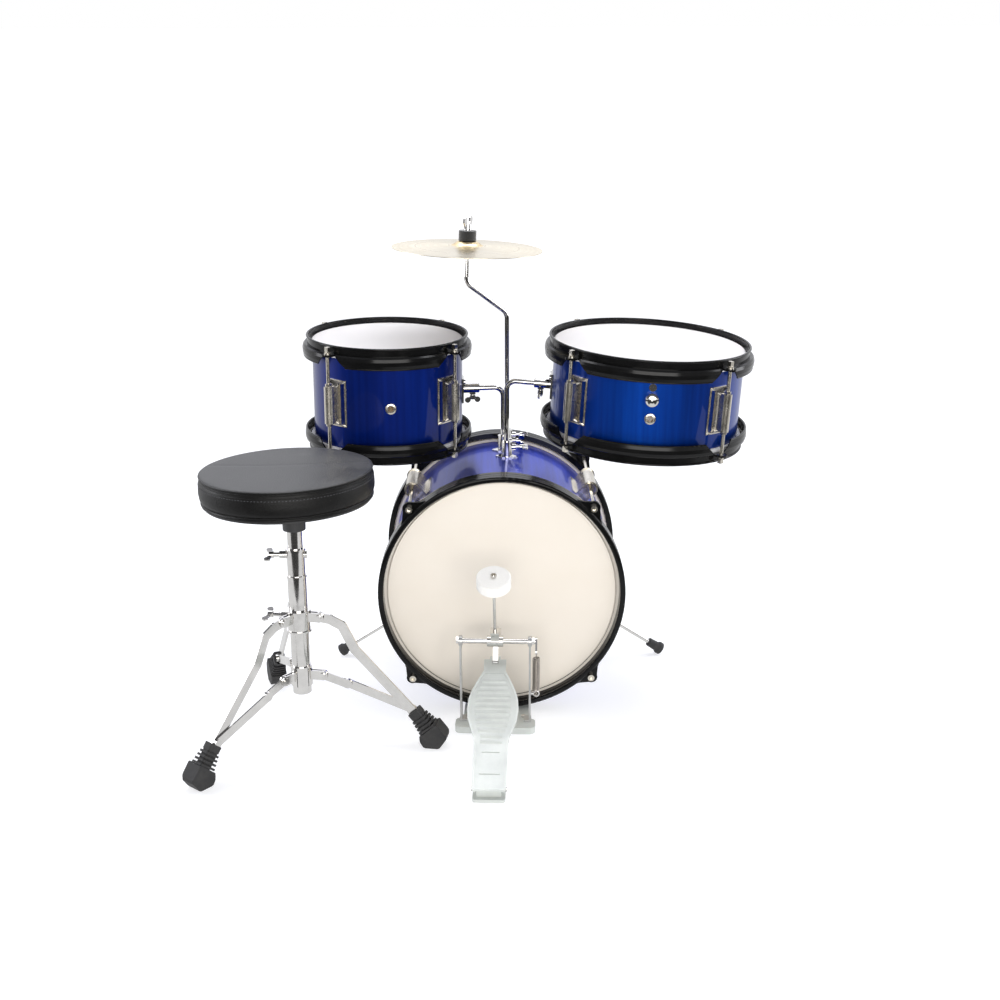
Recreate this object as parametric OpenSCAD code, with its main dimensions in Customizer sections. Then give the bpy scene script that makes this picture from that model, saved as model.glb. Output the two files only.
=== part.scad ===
// Junior acoustic drum kit: bass drum with spurs and pedal, tom, snare, one cymbal and a throne.
// Millimetres. +X to the player's right, +Y away from the player, +Z up.
// The origin is on the floor, below the front edge of the batter hoop.

/* [Bass drum] */
// Outer diameter of the bass drum shell
bass_d = 304; // [300:1:308]
// Depth of the bass drum shell
bass_depth = 203; // [196:1:206]
// Height of the bass drum's axis above the floor
bass_z = 168; // [168:0.5:170]
// Outer diameter of the wooden hoops
hoop_d = 330; // [328:1:332]

/* [Tom and snare] */
// Outer diameter of the tom shell
tom_d = 203.2; // [196:0.2:206]
// Depth of the tom shell
tom_depth = 140; // [130:1:144]
// Outer diameter of the snare shell
snare_d = 254; // [246:1:256]
// Depth of the snare shell
snare_depth = 121; // [112:1:126]
// Diameter of the bent rods that carry the drums
rod_d = 7; // [6:0.5:7]

/* [Cymbal] */
// Diameter of the cymbal
cymbal_d = 203; // [180:1:206]
// Diameter of the bent cymbal rod
cymbal_rod_d = 6.5; // [6:0.5:6.5]

/* [Pedal] */
// Height of the beater axle above the floor
axle_z = 123; // [122:0.5:124]
// Length of the footboard from its hinge to its link pin
board_len = 208; // [206:0.5:209]
// Diameter of the beater head
beater_d = 44; // [38:1:46]

/* [Throne] */
// Diameter of the seat cushion
seat_d = 219; // [200:1:219]
// Thickness of the seat cushion
seat_t = 42; // [38:1:44]
// Diameter of the main tube
tube_d = 24; // [23:0.5:24]

/* [Hidden] */
$fn = 64;

// Clearances: a shaft in its own bore, and faces that must stay apart
fit = 0.05;
gap = 0.3;

blue = "midnightblue";
black = "black";
chrome = "silver";
rubber = "dimgray";

// Bass drum: the hoops' length along the axis, and how far each covers the shell
bass_r = bass_d / 2;
hoop_r = hoop_d / 2;
hoop_w = 25;
hoop_wall = 7.4;
ear_front = 5;
ear_t = 5;
bass_front = 16.5;
bass_mid = bass_front + bass_depth / 2;
bass_length = bass_depth + 2 * bass_front;
bass_wall = 6;
bass_rod_r = 171;
bass_rod_d = 5;
lug_half = 32;

// Tension rods, lugs and rims of the tom and the snare
key_rod_d = 5;
lug_out = 15.4;
rim_t = 1.6;
tom_r = tom_d / 2;
snare_r = snare_d / 2;
drum_wall = 5.5;
tom_lug_turn = 45;
tom_vent = [88.2, -3];
snare_lug_turn = 46;

// The snare's muffler knob, and the two vents
knob_turn = -87;
knob_z = 17.5;
vent_z = -8.5;

// Where the three bent rods stand, the height of each arm, and the way it points in plan
tom_mast = [3.6, 169];
tom_arm_z = 411;
tom_plan = 187.6;
tom_droop = -0.6;
tom_reach = 159.2;
tom_rise = 3;
snare_mast = [8.4, 138];
snare_arm_z = 428.1;
snare_plan = -6.1;
snare_droop = 3.24;
snare_reach = 188.9;
snare_rise = 4.3;
cymbal_mast = [9.4, 200];
cymbal_plan = 210.8;
cymbal_side = 64.5;
cymbal_knee_z = 508.7;
cymbal_elbow_z = 556.8;
cymbal_lean = 2.5;
cymbal_edge = 46.6;
cymbal_top = 57;
clamp_top = 342;
clamp_bolt_z = 334;
rod_foot_z = 321;

// Spurs: where each leaves the shell, and its direction
spur_d = 6;
spur_at = [127, 158, 86.5];
spur_polar = 125.2;
spur_plan = 12.7;
spur_inside = 35;
spur_tip_r = 9;
spur_tip = 23;
spur_len = (spur_at[2] - spur_tip_r * sin(spur_polar)) / -cos(spur_polar);

// Pedal: its place and turn on the floor, and its pivots in its own frame
pedal_at = [-9, -45];
pedal_turn = -2.6;
heel_y = -188;
heel_z = 13;
board_slope = 21.7;
crank_y = 20;
crank_z = 5;
beater_lean = 20.7;
beater_reach = 104.8;
upright_x = 45.5;
spring_x = 53.9;
board_t = 4;
board_z = 4;
toe = board_len - 0.4;

// Throne: its place, its pivots as [distance from the axis, height], and the seat's lean
throne_at = [-261, -68];
leg_turns = [-10, 110, 230];
leg_pivot = [27, 170];
leg_knee = [57, 160];
leg_bend = [73, 128];
rivet_at = [146, 48];
brace_pivot = [29, 89];
leg_end = [157, 38];
foot_at = [149, 47.5];
foot_turn = 50;
seat_at = [-4.3, -9.4, 330.2];
seat_tip = [-2, -1.3, 0];
tube_low = 64;
tube_high = 224;
sleeve_high = 263;
post_high = 288;
post_low = 150;
post_d = 19;
spigot_d = 15;
strip_t = 3;
brace_t = 2;
rivet_d = 4;

// ---------- shared shapes ----------

// A quarter or other part of a torus that starts at the origin along +Z and turns towards +X
module rod_bend(d, turn, r) {
    translate([r, 0, 0])
        rotate([90, 0, 180])
            rotate_extrude(angle = turn)
                translate([r, 0])
                    circle(d = d);
}

// A bent rod: each step is [straight length, turn, bend radius], and a negative turn bends the other way.
// A bend is a hair thicker than the straights, which run half a millimetre into it.
module rod_run(d, steps, i = 0) {
    step = steps[i];
    translate([0, 0, -0.5])
        cylinder(d = d, h = step[0] + 1);
    if (i < len(steps) - 1) {
        flip = step[1] < 0 ? 180 : 0;
        side = step[1] < 0 ? -1 : 1;
        turn = abs(step[1]);
        translate([0, 0, step[0]]) {
            rotate([0, 0, flip])
                rod_bend(d + 0.06, turn, step[2]);
            translate([side * step[2] * (1 - cos(turn)), 0, step[2] * sin(turn)])
                rotate([0, step[1], 0])
                    rod_run(d, steps, i + 1);
        }
    }
}

// A wing screw that points along +Z, with its tip at the origin and its wings past length h
module wing_screw(d, h, wing = 9) {
    cylinder(d = d, h = h);
    translate([0, 0, h])
        cylinder(d = d + 3, h = 6);
    for (side = [0, 180])
        rotate([0, 0, side])
            translate([d / 2 + 0.5, 1, h + 2])
                rotate([90, 0, 0])
                    linear_extrude(2)
                        difference() {
                            union() {
                                polygon([[0, 0], [wing - 3, 2], [wing - 5, 8], [0, 4]]);
                                translate([wing - 4, 5])
                                    circle(r = 4, $fn = 24);
                            }
                            translate([-10, -5])
                                square([10, 20]);
                        }
}

// A flat strip of width w through points, with round ends and corners, standing in the XZ plane.
// Its straight edges lie a hair inside its round corners.
module strip(points, w, t) {
    rotate([90, 0, 0])
        translate([0, 0, -t / 2])
            linear_extrude(t) {
                for (p = points)
                    translate(p)
                        circle(d = w, $fn = 48);
                for (i = [0 : len(points) - 2]) {
                    run = points[i + 1] - points[i];
                    translate(points[i])
                        rotate(atan2(run[1], run[0]))
                            translate([0, 0.15 - w / 2])
                                square([norm(run), w - 0.3]);
                }
            }
}

// A hole or a pin along Y at a point of the XZ plane
module cross_pin(at, d, t) {
    translate([at[0], t / 2, at[1]])
        rotate([90, 0, 0])
            cylinder(d = d, h = t);
}

// ---------- bass drum ----------

// Turns a shape with its axis along +Z into the bass drum's axis
module bass_axis() {
    translate([0, 0, bass_z])
        rotate([-90, 0, 0])
            children();
}

// The same shape at the batter end and mirrored at the other end
module both_ends() {
    children();
    translate([0, 0, bass_length])
        mirror([0, 0, 1])
            children();
}

module spur_frame(side) {
    mirror([side < 0 ? 1 : 0, 0, 0])
        translate(spur_at)
            rotate([0, spur_polar, spur_plan])
                children();
}

module bass_shell() {
    color(blue)
        difference() {
            bass_axis()
                translate([0, 0, bass_front])
                    difference() {
                        cylinder(r = bass_r, h = bass_depth, $fn = 128);
                        translate([0, 0, -1])
                            cylinder(r = bass_r - bass_wall, h = bass_depth + 2, $fn = 128);
                    }
            for (side = [-1, 1])
                spur_frame(side)
                    translate([0, 0, -20])
                        cylinder(d = spur_d + 1, h = 40);
        }
}

module bass_hoop() {
    rotate_extrude($fn = 128)
        difference() {
            union() {
                translate([hoop_r - hoop_wall, 2.2])
                    square([hoop_wall, hoop_w - 2.2]);
                translate([hoop_r - hoop_wall + 2.4, 0])
                    square([hoop_wall - 4.8, 4]);
                translate([hoop_r - 2.4, 2.4])
                    circle(r = 2.4, $fn = 24);
                translate([hoop_r - hoop_wall + 2.4, 2.4])
                    circle(r = 2.4, $fn = 24);
                translate([hoop_r - hoop_wall - 3.4, 17.4])
                    square([4, 2]);
            }
            translate([hoop_r, 9])
                circle(r = 0.8, $fn = 16);
            translate([hoop_r, 17])
                circle(r = 0.8, $fn = 16);
        }
    for (turn = [45 : 90 : 315])
        rotate(turn)
            difference() {
                translate([0, 0, ear_front])
                    linear_extrude(ear_t)
                        difference() {
                            union() {
                                polygon([[hoop_r - 3, -26], [hoop_r + 2, -17], [bass_rod_r + 5, -6.4],
                                    [bass_rod_r + 5, 6.4], [hoop_r + 2, 17], [hoop_r - 3, 26]]);
                                translate([bass_rod_r + 1, 0])
                                    circle(r = 8);
                            }
                            circle(r = hoop_r - 5);
                        }
                translate([bass_rod_r, 0, -1])
                    cylinder(d = bass_rod_d + 0.6, h = 12);
            }
}

module bass_hoops() {
    color(black)
        bass_axis()
            both_ends()
                bass_hoop();
}

module bass_heads() {
    color("ivory")
        bass_axis()
            both_ends()
                rotate_extrude($fn = 128)
                    polygon([[0, bass_front - 0.6], [bass_r + 0.2, bass_front - 0.6],
                        [bass_r + 0.9, bass_front + 0.3], [bass_r + 0.9, bass_front + 3.4],
                        [bass_r + 4, bass_front + 3.4], [bass_r + 4, bass_front + 8],
                        [bass_r + 0.3, bass_front + 8], [bass_r + 0.3, bass_front - 0.1],
                        [0, bass_front - 0.1]]);
}

// A lug is an arched sheet tunnel with feet, and a threaded bridge across its middle
module bass_lug() {
    rise = bass_rod_r - bass_r;
    arch_r = 9.5;
    sheet = 1.6;
    difference() {
        translate([bass_r, 0, bass_mid - lug_half])
            linear_extrude(2 * lug_half)
                difference() {
                    union() {
                        translate([rise, 0])
                            circle(r = arch_r);
                        translate([-4, -arch_r])
                            square([rise + 4, 2 * arch_r]);
                        translate([-4, -15.5])
                            square([4 + sheet, 31]);
                    }
                    translate([rise, 0])
                        circle(r = arch_r - sheet);
                    translate([-5, sheet - arch_r])
                        square([rise + 5, 2 * (arch_r - sheet)]);
                }
        cylinder(r = bass_r + 0.02, h = bass_length, $fn = 128);
    }
    for (end = [-1, 1])
        translate([bass_rod_r, 0, bass_mid + end * (lug_half - 0.8)])
            difference() {
                cylinder(r = arch_r + 1.2, h = 1.6, center = true);
                cylinder(r = arch_r - sheet, h = 4, center = true);
                translate([-20 - 3, 0, 0])
                    cube([40, 40, 4], center = true);
            }
    translate([bass_rod_r, 0, bass_mid - 5])
        difference() {
            union() {
                cylinder(r = arch_r - sheet / 2, h = 10);
                translate([-rise + 3, -arch_r + sheet / 2, 0])
                    cube([rise - 3, 2 * arch_r - sheet, 10]);
            }
            translate([0, 0, -1])
                cylinder(d = bass_rod_d + 0.4, h = 12);
        }
}

module bass_lugs() {
    color(chrome)
        bass_axis()
            for (turn = [45 : 90 : 315])
                rotate(turn)
                    bass_lug();
}

// Rods run from each hoop ear to the middle of the lug, with a slotted round head in front
module bass_rods() {
    color(chrome)
        bass_axis()
            both_ends()
                for (turn = [45 : 90 : 315])
                    rotate(turn)
                        translate([bass_rod_r, 0, 0]) {
                            translate([0, 0, ear_front - 5.2])
                                difference() {
                                    union() {
                                        cylinder(d = 9, h = 5.1);
                                        cylinder(d = bass_rod_d, h = bass_mid + 4.5 - ear_front);
                                    }
                                    translate([0, 0, -1])
                                        cylinder(d = 5, h = 4, $fn = 6);
                                }
                        }
}

// ---------- rod clamps on the bass drum ----------

module rod_clamp(at, bore) {
    difference() {
        union() {
            difference() {
                translate([at[0], at[1], bass_z + bass_r - 4])
                    linear_extrude(8)
                        difference() {
                            union() {
                                polygon([[-15, 0], [-7, 8.6], [7, 8.6], [15, 0], [7, -8.6], [-7, -8.6]]);
                                for (side = [-1, 1])
                                    translate([side * 13, 0])
                                        circle(r = 2.4, $fn = 24);
                                circle(r = 9);
                            }
                        }
                bass_axis()
                    difference() {
                        cylinder(r = bass_r + 20, h = bass_length, $fn = 128);
                        translate([0, 0, -1])
                            cylinder(r = bass_r + 1.8, h = bass_length + 2, $fn = 128);
                    }
            }
            translate([at[0], at[1], bass_z + bass_r - 4])
                cylinder(d = 15, h = clamp_top - bass_z - bass_r + 4);
            translate([at[0], at[1], clamp_bolt_z])
                rotate([0, 90, 0])
                    cylinder(d = 8.4, h = 12);
        }
        bass_axis()
            cylinder(r = bass_r + 0.02, h = bass_length, $fn = 128);
        translate([at[0], at[1], rod_foot_z - 4])
            cylinder(d = bore + 2 * fit, h = 60);
        translate([at[0], at[1], clamp_bolt_z])
            rotate([0, 90, 0])
                cylinder(d = 4 + 2 * fit, h = 20);
    }
}

module rod_clamps() {
    color(chrome) {
        rod_clamp(tom_mast, rod_d);
        rod_clamp(snare_mast, rod_d);
        rod_clamp(cymbal_mast, cymbal_rod_d);
    }
}

module clamp_screw(at, bore, turn) {
    color(chrome)
        translate([at[0] + bore / 2 + 0.4, at[1], clamp_bolt_z])
            rotate([0, 90, 0])
                rotate([0, 0, turn])
                    wing_screw(4, 18 - bore / 2, 8);
}

module tom_clamp_screw() {
    clamp_screw(tom_mast, rod_d, 25);
}

module snare_clamp_screw() {
    clamp_screw(snare_mast, rod_d, 90);
}

module cymbal_clamp_screw() {
    clamp_screw(cymbal_mast, cymbal_rod_d, 60);
}

// ---------- spurs ----------

module spur_brackets() {
    color(chrome)
        for (side = [-1, 1])
            difference() {
                spur_frame(side) {
                    translate([0, 0, -4])
                        cylinder(d = 15, h = 26);
                    translate([0, 0, 14])
                        rotate([90, 0, 0])
                            cylinder(d = 9, h = 12);
                    translate([0, 0, -4])
                        cylinder(d = 30, h = 7);
                }
                bass_axis()
                    cylinder(r = bass_r + 0.02, h = bass_length, $fn = 128);
                spur_frame(side) {
                    translate([0, 0, -30])
                        cylinder(d = spur_d + 2 * fit, h = 80);
                    translate([0, 0, 14])
                        rotate([90, 0, 0])
                            cylinder(d = 5 + 2 * fit, h = 20);
                }
            }
}

module spur_bolt(side) {
    color(chrome)
        spur_frame(side)
            translate([0, -spur_d / 2 - 0.4, 14])
                rotate([90, 0, 0])
                    wing_screw(5, 11, 10);
}

module spur_bolt_left() {
    spur_bolt(-1);
}

module spur_bolt_right() {
    spur_bolt(1);
}

// A spur rod and its rubber tip, whose round edge rests on the floor
module spur(side) {
    color(chrome)
        spur_frame(side)
            translate([0, 0, -spur_inside])
                cylinder(d = spur_d, h = spur_inside + spur_len - 6);
    color(rubber)
        spur_frame(side)
            translate([0, 0, spur_len - spur_tip])
                rotate_extrude()
                    polygon([[spur_d / 2 - 0.5, 0], [5.6, 0], [6.2, 0.8], [6.8, 15], [spur_tip_r, 18.4],
                        [spur_tip_r, spur_tip], [0, spur_tip], [0, 14], [spur_d / 2 - 0.5, 14]]);
}

module spur_left() {
    spur(-1);
}

module spur_right() {
    spur(1);
}

// ---------- tom and snare, each in a frame at the middle of its shell ----------
// Local +X points away from the bent rod, so the bracket is at 180 degrees.

module on_tom() {
    translate([tom_mast[0], tom_mast[1], tom_arm_z])
        rotate([0, tom_droop, tom_plan])
            translate([tom_reach, 0, tom_rise])
                children();
}

module on_snare() {
    translate([snare_mast[0], snare_mast[1], snare_arm_z])
        rotate([0, snare_droop, snare_plan])
            translate([snare_reach, 0, snare_rise])
                children();
}

module top_and_bottom() {
    children();
    mirror([0, 0, 1])
        children();
}

module drum_shell(r, depth, holes) {
    color(blue)
        difference() {
            translate([0, 0, -depth / 2])
                rotate_extrude($fn = 128)
                    polygon([[r - drum_wall, 4], [r - 1, 0], [r, 0.8], [r, depth - 0.8], [r - 1, depth],
                        [r - drum_wall, depth - 4]]);
            for (hole = holes)
                rotate([0, 0, hole[0]])
                    translate([r - 12, 0, hole[1]])
                        rotate([0, 90, 0])
                            cylinder(d = hole[2], h = 24);
        }
}

// A pressed rim: rolled edge, wall, shoulder and skirt, cut away and eared at each lug
module drum_rim(r, depth, first) {
    ear_r = r + lug_out;
    translate([0, 0, depth / 2])
        difference() {
            union() {
                difference() {
                    rotate_extrude($fn = 128) {
                        translate([r + 6.3, 6.5])
                            circle(r = 1.7, $fn = 32);
                        translate([r + 5, -4.6])
                            square([rim_t, 11]);
                        polygon([[r + 5, -4.6], [r + 5, -3], [r + 10, -3], [r + 12, -5], [r + 13, -9],
                            [r + 12.8, -14], [r + 11.6, -19], [r + 10.1, -19], [r + 11.2, -13.8],
                            [r + 11.4, -9.2], [r + 10.7, -6], [r + 9.4, -4.6]]);
                        translate([r + 10.7, -18.8])
                            circle(r = 1.3, $fn = 24);
                    }
                    for (turn = [first : 90 : first + 270])
                        rotate(turn)
                            translate([r + 12, 0, 0])
                                rotate([0, 90, 0])
                                    translate([0, 0, -6])
                                        linear_extrude(14)
                                            polygon([[4.8, -9.5], [22, -27], [22, 27], [4.8, 9.5]]);
                }
                for (turn = [first : 90 : first + 270])
                    rotate(turn)
                        translate([0, 0, -5])
                            linear_extrude(2.6) {
                                translate([r + 6.5, -8])
                                    square([lug_out - 6.5, 16]);
                                translate([ear_r, 0])
                                    circle(r = 8, $fn = 48);
                            }
            }
            for (turn = [first : 90 : first + 270])
                rotate(turn)
                    translate([ear_r, 0, -10])
                        cylinder(d = key_rod_d + 0.6, h = 20);
        }
}

module drum_rims(r, depth, first) {
    color(black)
        top_and_bottom()
            drum_rim(r, depth, first);
}

module drum_heads(r, depth) {
    color("white")
        top_and_bottom()
            translate([0, 0, depth / 2])
                rotate_extrude($fn = 128)
                    polygon([[0, 0.6], [r - 0.6, 0.6], [r + 1, -0.8], [r + 1, -5], [r + 4.6, -5],
                        [r + 4.6, -9], [r + 0.4, -9], [r + 0.4, -1], [r - 0.9, 0.1], [0, 0.1]]);
}

// A bridge lug: a frame on the shell, sloping ends and a half-round barrel
module drum_lug(r) {
    frame_h = 63;
    frame_w = 33;
    barrel_h = 50;
    slope = atan2((frame_h - barrel_h) / 2, 10);
    difference() {
        union() {
            intersection() {
                difference() {
                    cylinder(r = r + 1.5, h = frame_h, center = true, $fn = 128);
                    cylinder(r = r + 0.02, h = frame_h + 2, center = true, $fn = 128);
                }
                translate([r, 0, 0])
                    cube([20, frame_w, frame_h], center = true);
            }
            top_and_bottom()
                difference() {
                    translate([r - 1.2, 0, frame_h / 2 + 0.2])
                        rotate([0, slope, 0])
                            translate([0, 0, -1.6])
                                linear_extrude(1.6)
                                    polygon([[-3, -frame_w / 2], [1, -frame_w / 2], [14, -6],
                                        [14, 6], [1, frame_w / 2], [-3, frame_w / 2]]);
                    cylinder(r = r + 0.02, h = 100, center = true, $fn = 128);
                }
            translate([r + lug_out, 0, 0])
                cylinder(d = 12.5, h = barrel_h, center = true);
            translate([r + lug_out - 4, 0, 0])
                cube([8, 12.5, barrel_h], center = true);
            translate([r + lug_out, 0, 0])
                cylinder(d = 9, h = barrel_h + 7, center = true, $fn = 6);
        }
        for (side = [-1, 1])
            translate([r, side * 10.6, 0])
                cube([14, 6.2, frame_h - 7], center = true);
        translate([r + lug_out, 0, 0])
            cylinder(d = key_rod_d + 0.5, h = 100, center = true);
    }
}

// A vent eyelet through the shell wall
module eyelet(r, turn, z) {
    rotate([0, 0, turn])
        translate([r + 0.05, 0, z])
            rotate([0, 90, 0])
                rotate_extrude($fn = 48)
                    polygon([[4.2, -6.5], [4.8, -6.5], [4.8, 0], [7.4, 0], [7, 1.2], [5, 1.8], [4.2, 1.2]]);
}

module drum_lugs(r, first) {
    for (turn = [first : 90 : first + 270])
        rotate(turn)
            drum_lug(r);
}

// Square-headed key rods with washers, from each ear down into the lug barrel
module drum_rods(r, depth, first) {
    color(chrome)
        top_and_bottom()
            for (turn = [first : 90 : first + 270])
                rotate(turn)
                    translate([r + lug_out, 0, depth / 2 - 2.35]) {
                        cylinder(d = 9.5, h = 1.2);
                        translate([0, 0, 1.2])
                            cylinder(d = 7.4, h = 2);
                        translate([-2.7, -2.7, 3])
                            cube([5.4, 5.4, 6.4]);
                        translate([0, 0, 10 - depth / 2])
                            cylinder(d = key_rod_d, h = depth / 2 - 8);
                    }
}

// The bracket's boss takes the bent rod along local X, and its bolt comes up from below
module drum_bracket(r, rise) {
    color(chrome)
        difference() {
            union() {
                intersection() {
                    difference() {
                        cylinder(r = r + 2.2, h = 60, center = true, $fn = 128);
                        cylinder(r = r + 0.02, h = 62, center = true, $fn = 128);
                    }
                    translate([-r, 0, -rise])
                        cube([30, 34, 34], center = true);
                }
                difference() {
                    translate([-r - 24, 0, -rise])
                        rotate([0, 90, 0])
                            cylinder(d = 13, h = 24);
                    cylinder(r = r + 0.02, h = 62, center = true, $fn = 128);
                }
                translate([-r - 15, 0, -rise - 8])
                    cylinder(d = 9, h = 8);
                for (side = [-1, 1])
                    difference() {
                        translate([-r - 3.6, side * 12, -rise + 12])
                            rotate([0, 90, 0])
                                cylinder(d = 6, h = 5, $fn = 32);
                        cylinder(r = r + 0.02, h = 62, center = true, $fn = 128);
                    }
            }
            translate([-r - 30, 0, -rise])
                rotate([0, 90, 0])
                    cylinder(d = rod_d + 2 * fit, h = 27.5);
            translate([-r - 15, 0, -rise - 20])
                cylinder(d = 5 + 2 * fit, h = 20);
        }
}

module drum_bracket_bolt(r, rise, turn) {
    color(chrome)
        translate([-r - 15, 0, -rise - rod_d / 2 - 0.4])
            rotate([180, 0, turn])
                wing_screw(5, 5.4, 8);
}

// A bent rod for a drum: up from the clamp, one bend, then out to the bracket
module drum_arm(mast, arm_z, plan, droop, reach, r) {
    bend_r = 12;
    turn = 90 + droop;
    color(chrome)
        translate([mast[0], mast[1], rod_foot_z])
            rotate([0, 0, plan])
                rod_run(rod_d, [[arm_z - rod_foot_z - bend_r * tan(turn / 2), turn, bend_r],
                    [reach - r - 3.5 - bend_r * tan(turn / 2), 0, 0]]);
}

module tom_arm() {
    drum_arm(tom_mast, tom_arm_z, tom_plan, tom_droop, tom_reach, tom_r);
}

module tom_shell() {
    on_tom()
        drum_shell(tom_r, tom_depth, [[tom_vent[0], tom_vent[1], 9.8]]);
}

module tom_rims() {
    on_tom()
        drum_rims(tom_r, tom_depth, tom_lug_turn);
}

module tom_heads() {
    on_tom()
        drum_heads(tom_r, tom_depth);
}

module tom_lugs() {
    color(chrome)
        on_tom() {
            drum_lugs(tom_r, tom_lug_turn);
            eyelet(tom_r, tom_vent[0], tom_vent[1]);
        }
}

module tom_rods() {
    on_tom()
        drum_rods(tom_r, tom_depth, tom_lug_turn);
}

module tom_bracket() {
    on_tom()
        drum_bracket(tom_r, tom_rise);
}

module tom_bracket_bolt() {
    on_tom()
        drum_bracket_bolt(tom_r, tom_rise, 10);
}

module snare_arm() {
    drum_arm(snare_mast, snare_arm_z, snare_plan, snare_droop, snare_reach, snare_r);
}

module snare_shell() {
    on_snare()
        drum_shell(snare_r, snare_depth,
            [[knob_turn, vent_z, 9.8], [knob_turn, knob_z, 6.4], [knob_turn, knob_z + 15.5, 4.4]]);
}

module snare_rims() {
    on_snare()
        drum_rims(snare_r, snare_depth, snare_lug_turn);
}

module snare_heads() {
    on_snare()
        drum_heads(snare_r, snare_depth);
}

module snare_lugs() {
    color(chrome)
        on_snare() {
            drum_lugs(snare_r, snare_lug_turn);
            eyelet(snare_r, knob_turn, vent_z);
        }
}

module snare_rods() {
    on_snare()
        drum_rods(snare_r, snare_depth, snare_lug_turn);
}

module snare_bracket() {
    on_snare()
        drum_bracket(snare_r, snare_rise);
}

module snare_bracket_bolt() {
    on_snare()
        drum_bracket_bolt(snare_r, snare_rise, 80);
}

// Strands held by two end plates below the lower head, with straps that run out under the rim
module snare_wires() {
    strand_n = 12;
    half = 78;
    wire_z = -snare_depth / 2 - 2;
    color("lightgray")
        on_snare()
            for (i = [0 : strand_n - 1])
                translate([(i - (strand_n - 1) / 2) * 4, half, wire_z])
                    rotate([90, 0, 0])
                        cylinder(d = 1.4, h = 2 * half, $fn = 16);
    color(chrome)
        on_snare()
            for (side = [-1, 1]) {
                translate([0, side * (half + 4), wire_z])
                    cube([50, 10, 1.8], center = true);
                for (x = [-16, 16])
                    translate([x, side * (half + 8 + (snare_r - half - 9) / 2), wire_z])
                        cube([9, snare_r - half - 9, 0.8], center = true);
            }
}

// The fixed part of the muffler: a screwed strap inside the shell and a felt pad below the head
module snare_muffler() {
    inner = snare_r - drum_wall;
    color("gray")
        on_snare()
            rotate([0, 0, knob_turn]) {
                difference() {
                    translate([inner - 4.6, -7, knob_z - 8])
                        cube([2, 14, snare_depth / 2 - knob_z - 6]);
                    translate([inner - 10, 0, knob_z])
                        rotate([0, 90, 0])
                            cylinder(d = 5 + 2 * fit, h = 12);
                }
                translate([inner - 40, -7, snare_depth / 2 - 16])
                    cube([37.4, 14, 2]);
                translate([inner - 36, 0, snare_depth / 2 - 14])
                    cylinder(d = 28, h = 11);
                translate([inner - 4.6, 0, knob_z + 15.5])
                    rotate([0, 90, 0])
                        cylinder(d = 4, h = drum_wall + 5.4, $fn = 32);
                translate([snare_r + 0.4, 0, knob_z + 15.5])
                    rotate([0, 90, 0])
                        cylinder(d = 10, h = 2, $fn = 48);
            }
}

// A domed knob on its threaded stem
module muffler_knob() {
    color(chrome)
        on_snare()
            rotate([0, 0, knob_turn])
                translate([snare_r + 0.6, 0, knob_z])
                    rotate([0, 90, 0]) {
                        translate([0, 0, -13])
                            cylinder(d = 5, h = 14);
                        rotate_extrude($fn = 64)
                            polygon([[0, 0], [8.4, 0], [9, 1.4], [9, 5.6], [8.2, 7.4], [6, 8.8],
                                [3, 9.6], [0, 9.9]]);
                    }
}

// ---------- cymbal ----------

// The frame at the cymbal rod's second corner, with +Z along the cymbal's axis
module on_cymbal() {
    translate([cymbal_mast[0], cymbal_mast[1], cymbal_elbow_z])
        rotate([0, 0, cymbal_plan])
            translate([cymbal_side, 0, 0])
                rotate([0, -cymbal_lean, 0])
                    children();
}

module cymbal_arm() {
    bend_r = 16;
    rise = cymbal_elbow_z - cymbal_knee_z;
    turn = atan2(cymbal_side, rise);
    back = turn + cymbal_lean;
    knee = bend_r * tan(turn / 2);
    elbow = bend_r * tan(back / 2);
    color(chrome) {
        translate([cymbal_mast[0], cymbal_mast[1], rod_foot_z])
            rotate([0, 0, cymbal_plan])
                rod_run(cymbal_rod_d, [[cymbal_knee_z - rod_foot_z - knee, turn, bend_r],
                    [norm([cymbal_side, rise]) - knee - elbow, -back, bend_r],
                    [42.5 - elbow, 0, 0]]);
        on_cymbal()
            translate([0, 0, 42.9])
                cylinder(d = 5.6, h = 38);
    }
}

// Cup washer and lower felt
module cymbal_seat() {
    color("white")
        on_cymbal()
            rotate_extrude()
                polygon([[2.85, 43.1], [10, 43.1], [11, 45], [8.2, 46.2], [8.2, 55.5], [4.6, 55.5],
                    [4.6, 46], [2.85, 46]]);
}

module cymbal() {
    bell = cymbal_top;
    color("khaki")
        on_cymbal()
            rotate_extrude($fn = 128)
                polygon([[5.4, bell], [9, bell - 0.2], [13, bell - 1.1], [16.5, bell - 3], [19, bell - 5.2],
                    [22, bell - 6.6], [40, bell - 7.2], [62, bell - 8.2], [84, bell - 9.5],
                    [cymbal_d / 2, cymbal_edge], [cymbal_d / 2, cymbal_edge - 0.8],
                    [84, bell - 10.6], [62, bell - 9.3], [40, bell - 8.3], [22, bell - 7.7],
                    [18.2, bell - 6.2], [15.8, bell - 4], [12.6, bell - 2.2], [9, bell - 1.3],
                    [5.4, bell - 1.1]]);
}

// Upper felt and the sleeve that lines the cymbal's hole
module cymbal_felt() {
    color(black)
        on_cymbal() {
            difference() {
                union() {
                    translate([0, 0, cymbal_top + gap])
                        cylinder(d = 24, h = 13);
                    translate([0, 0, 47])
                        cylinder(d = 8.6, h = 20);
                }
                translate([0, 0, 40])
                    cylinder(d = 5.7, h = 40);
            }
        }
}

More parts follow.
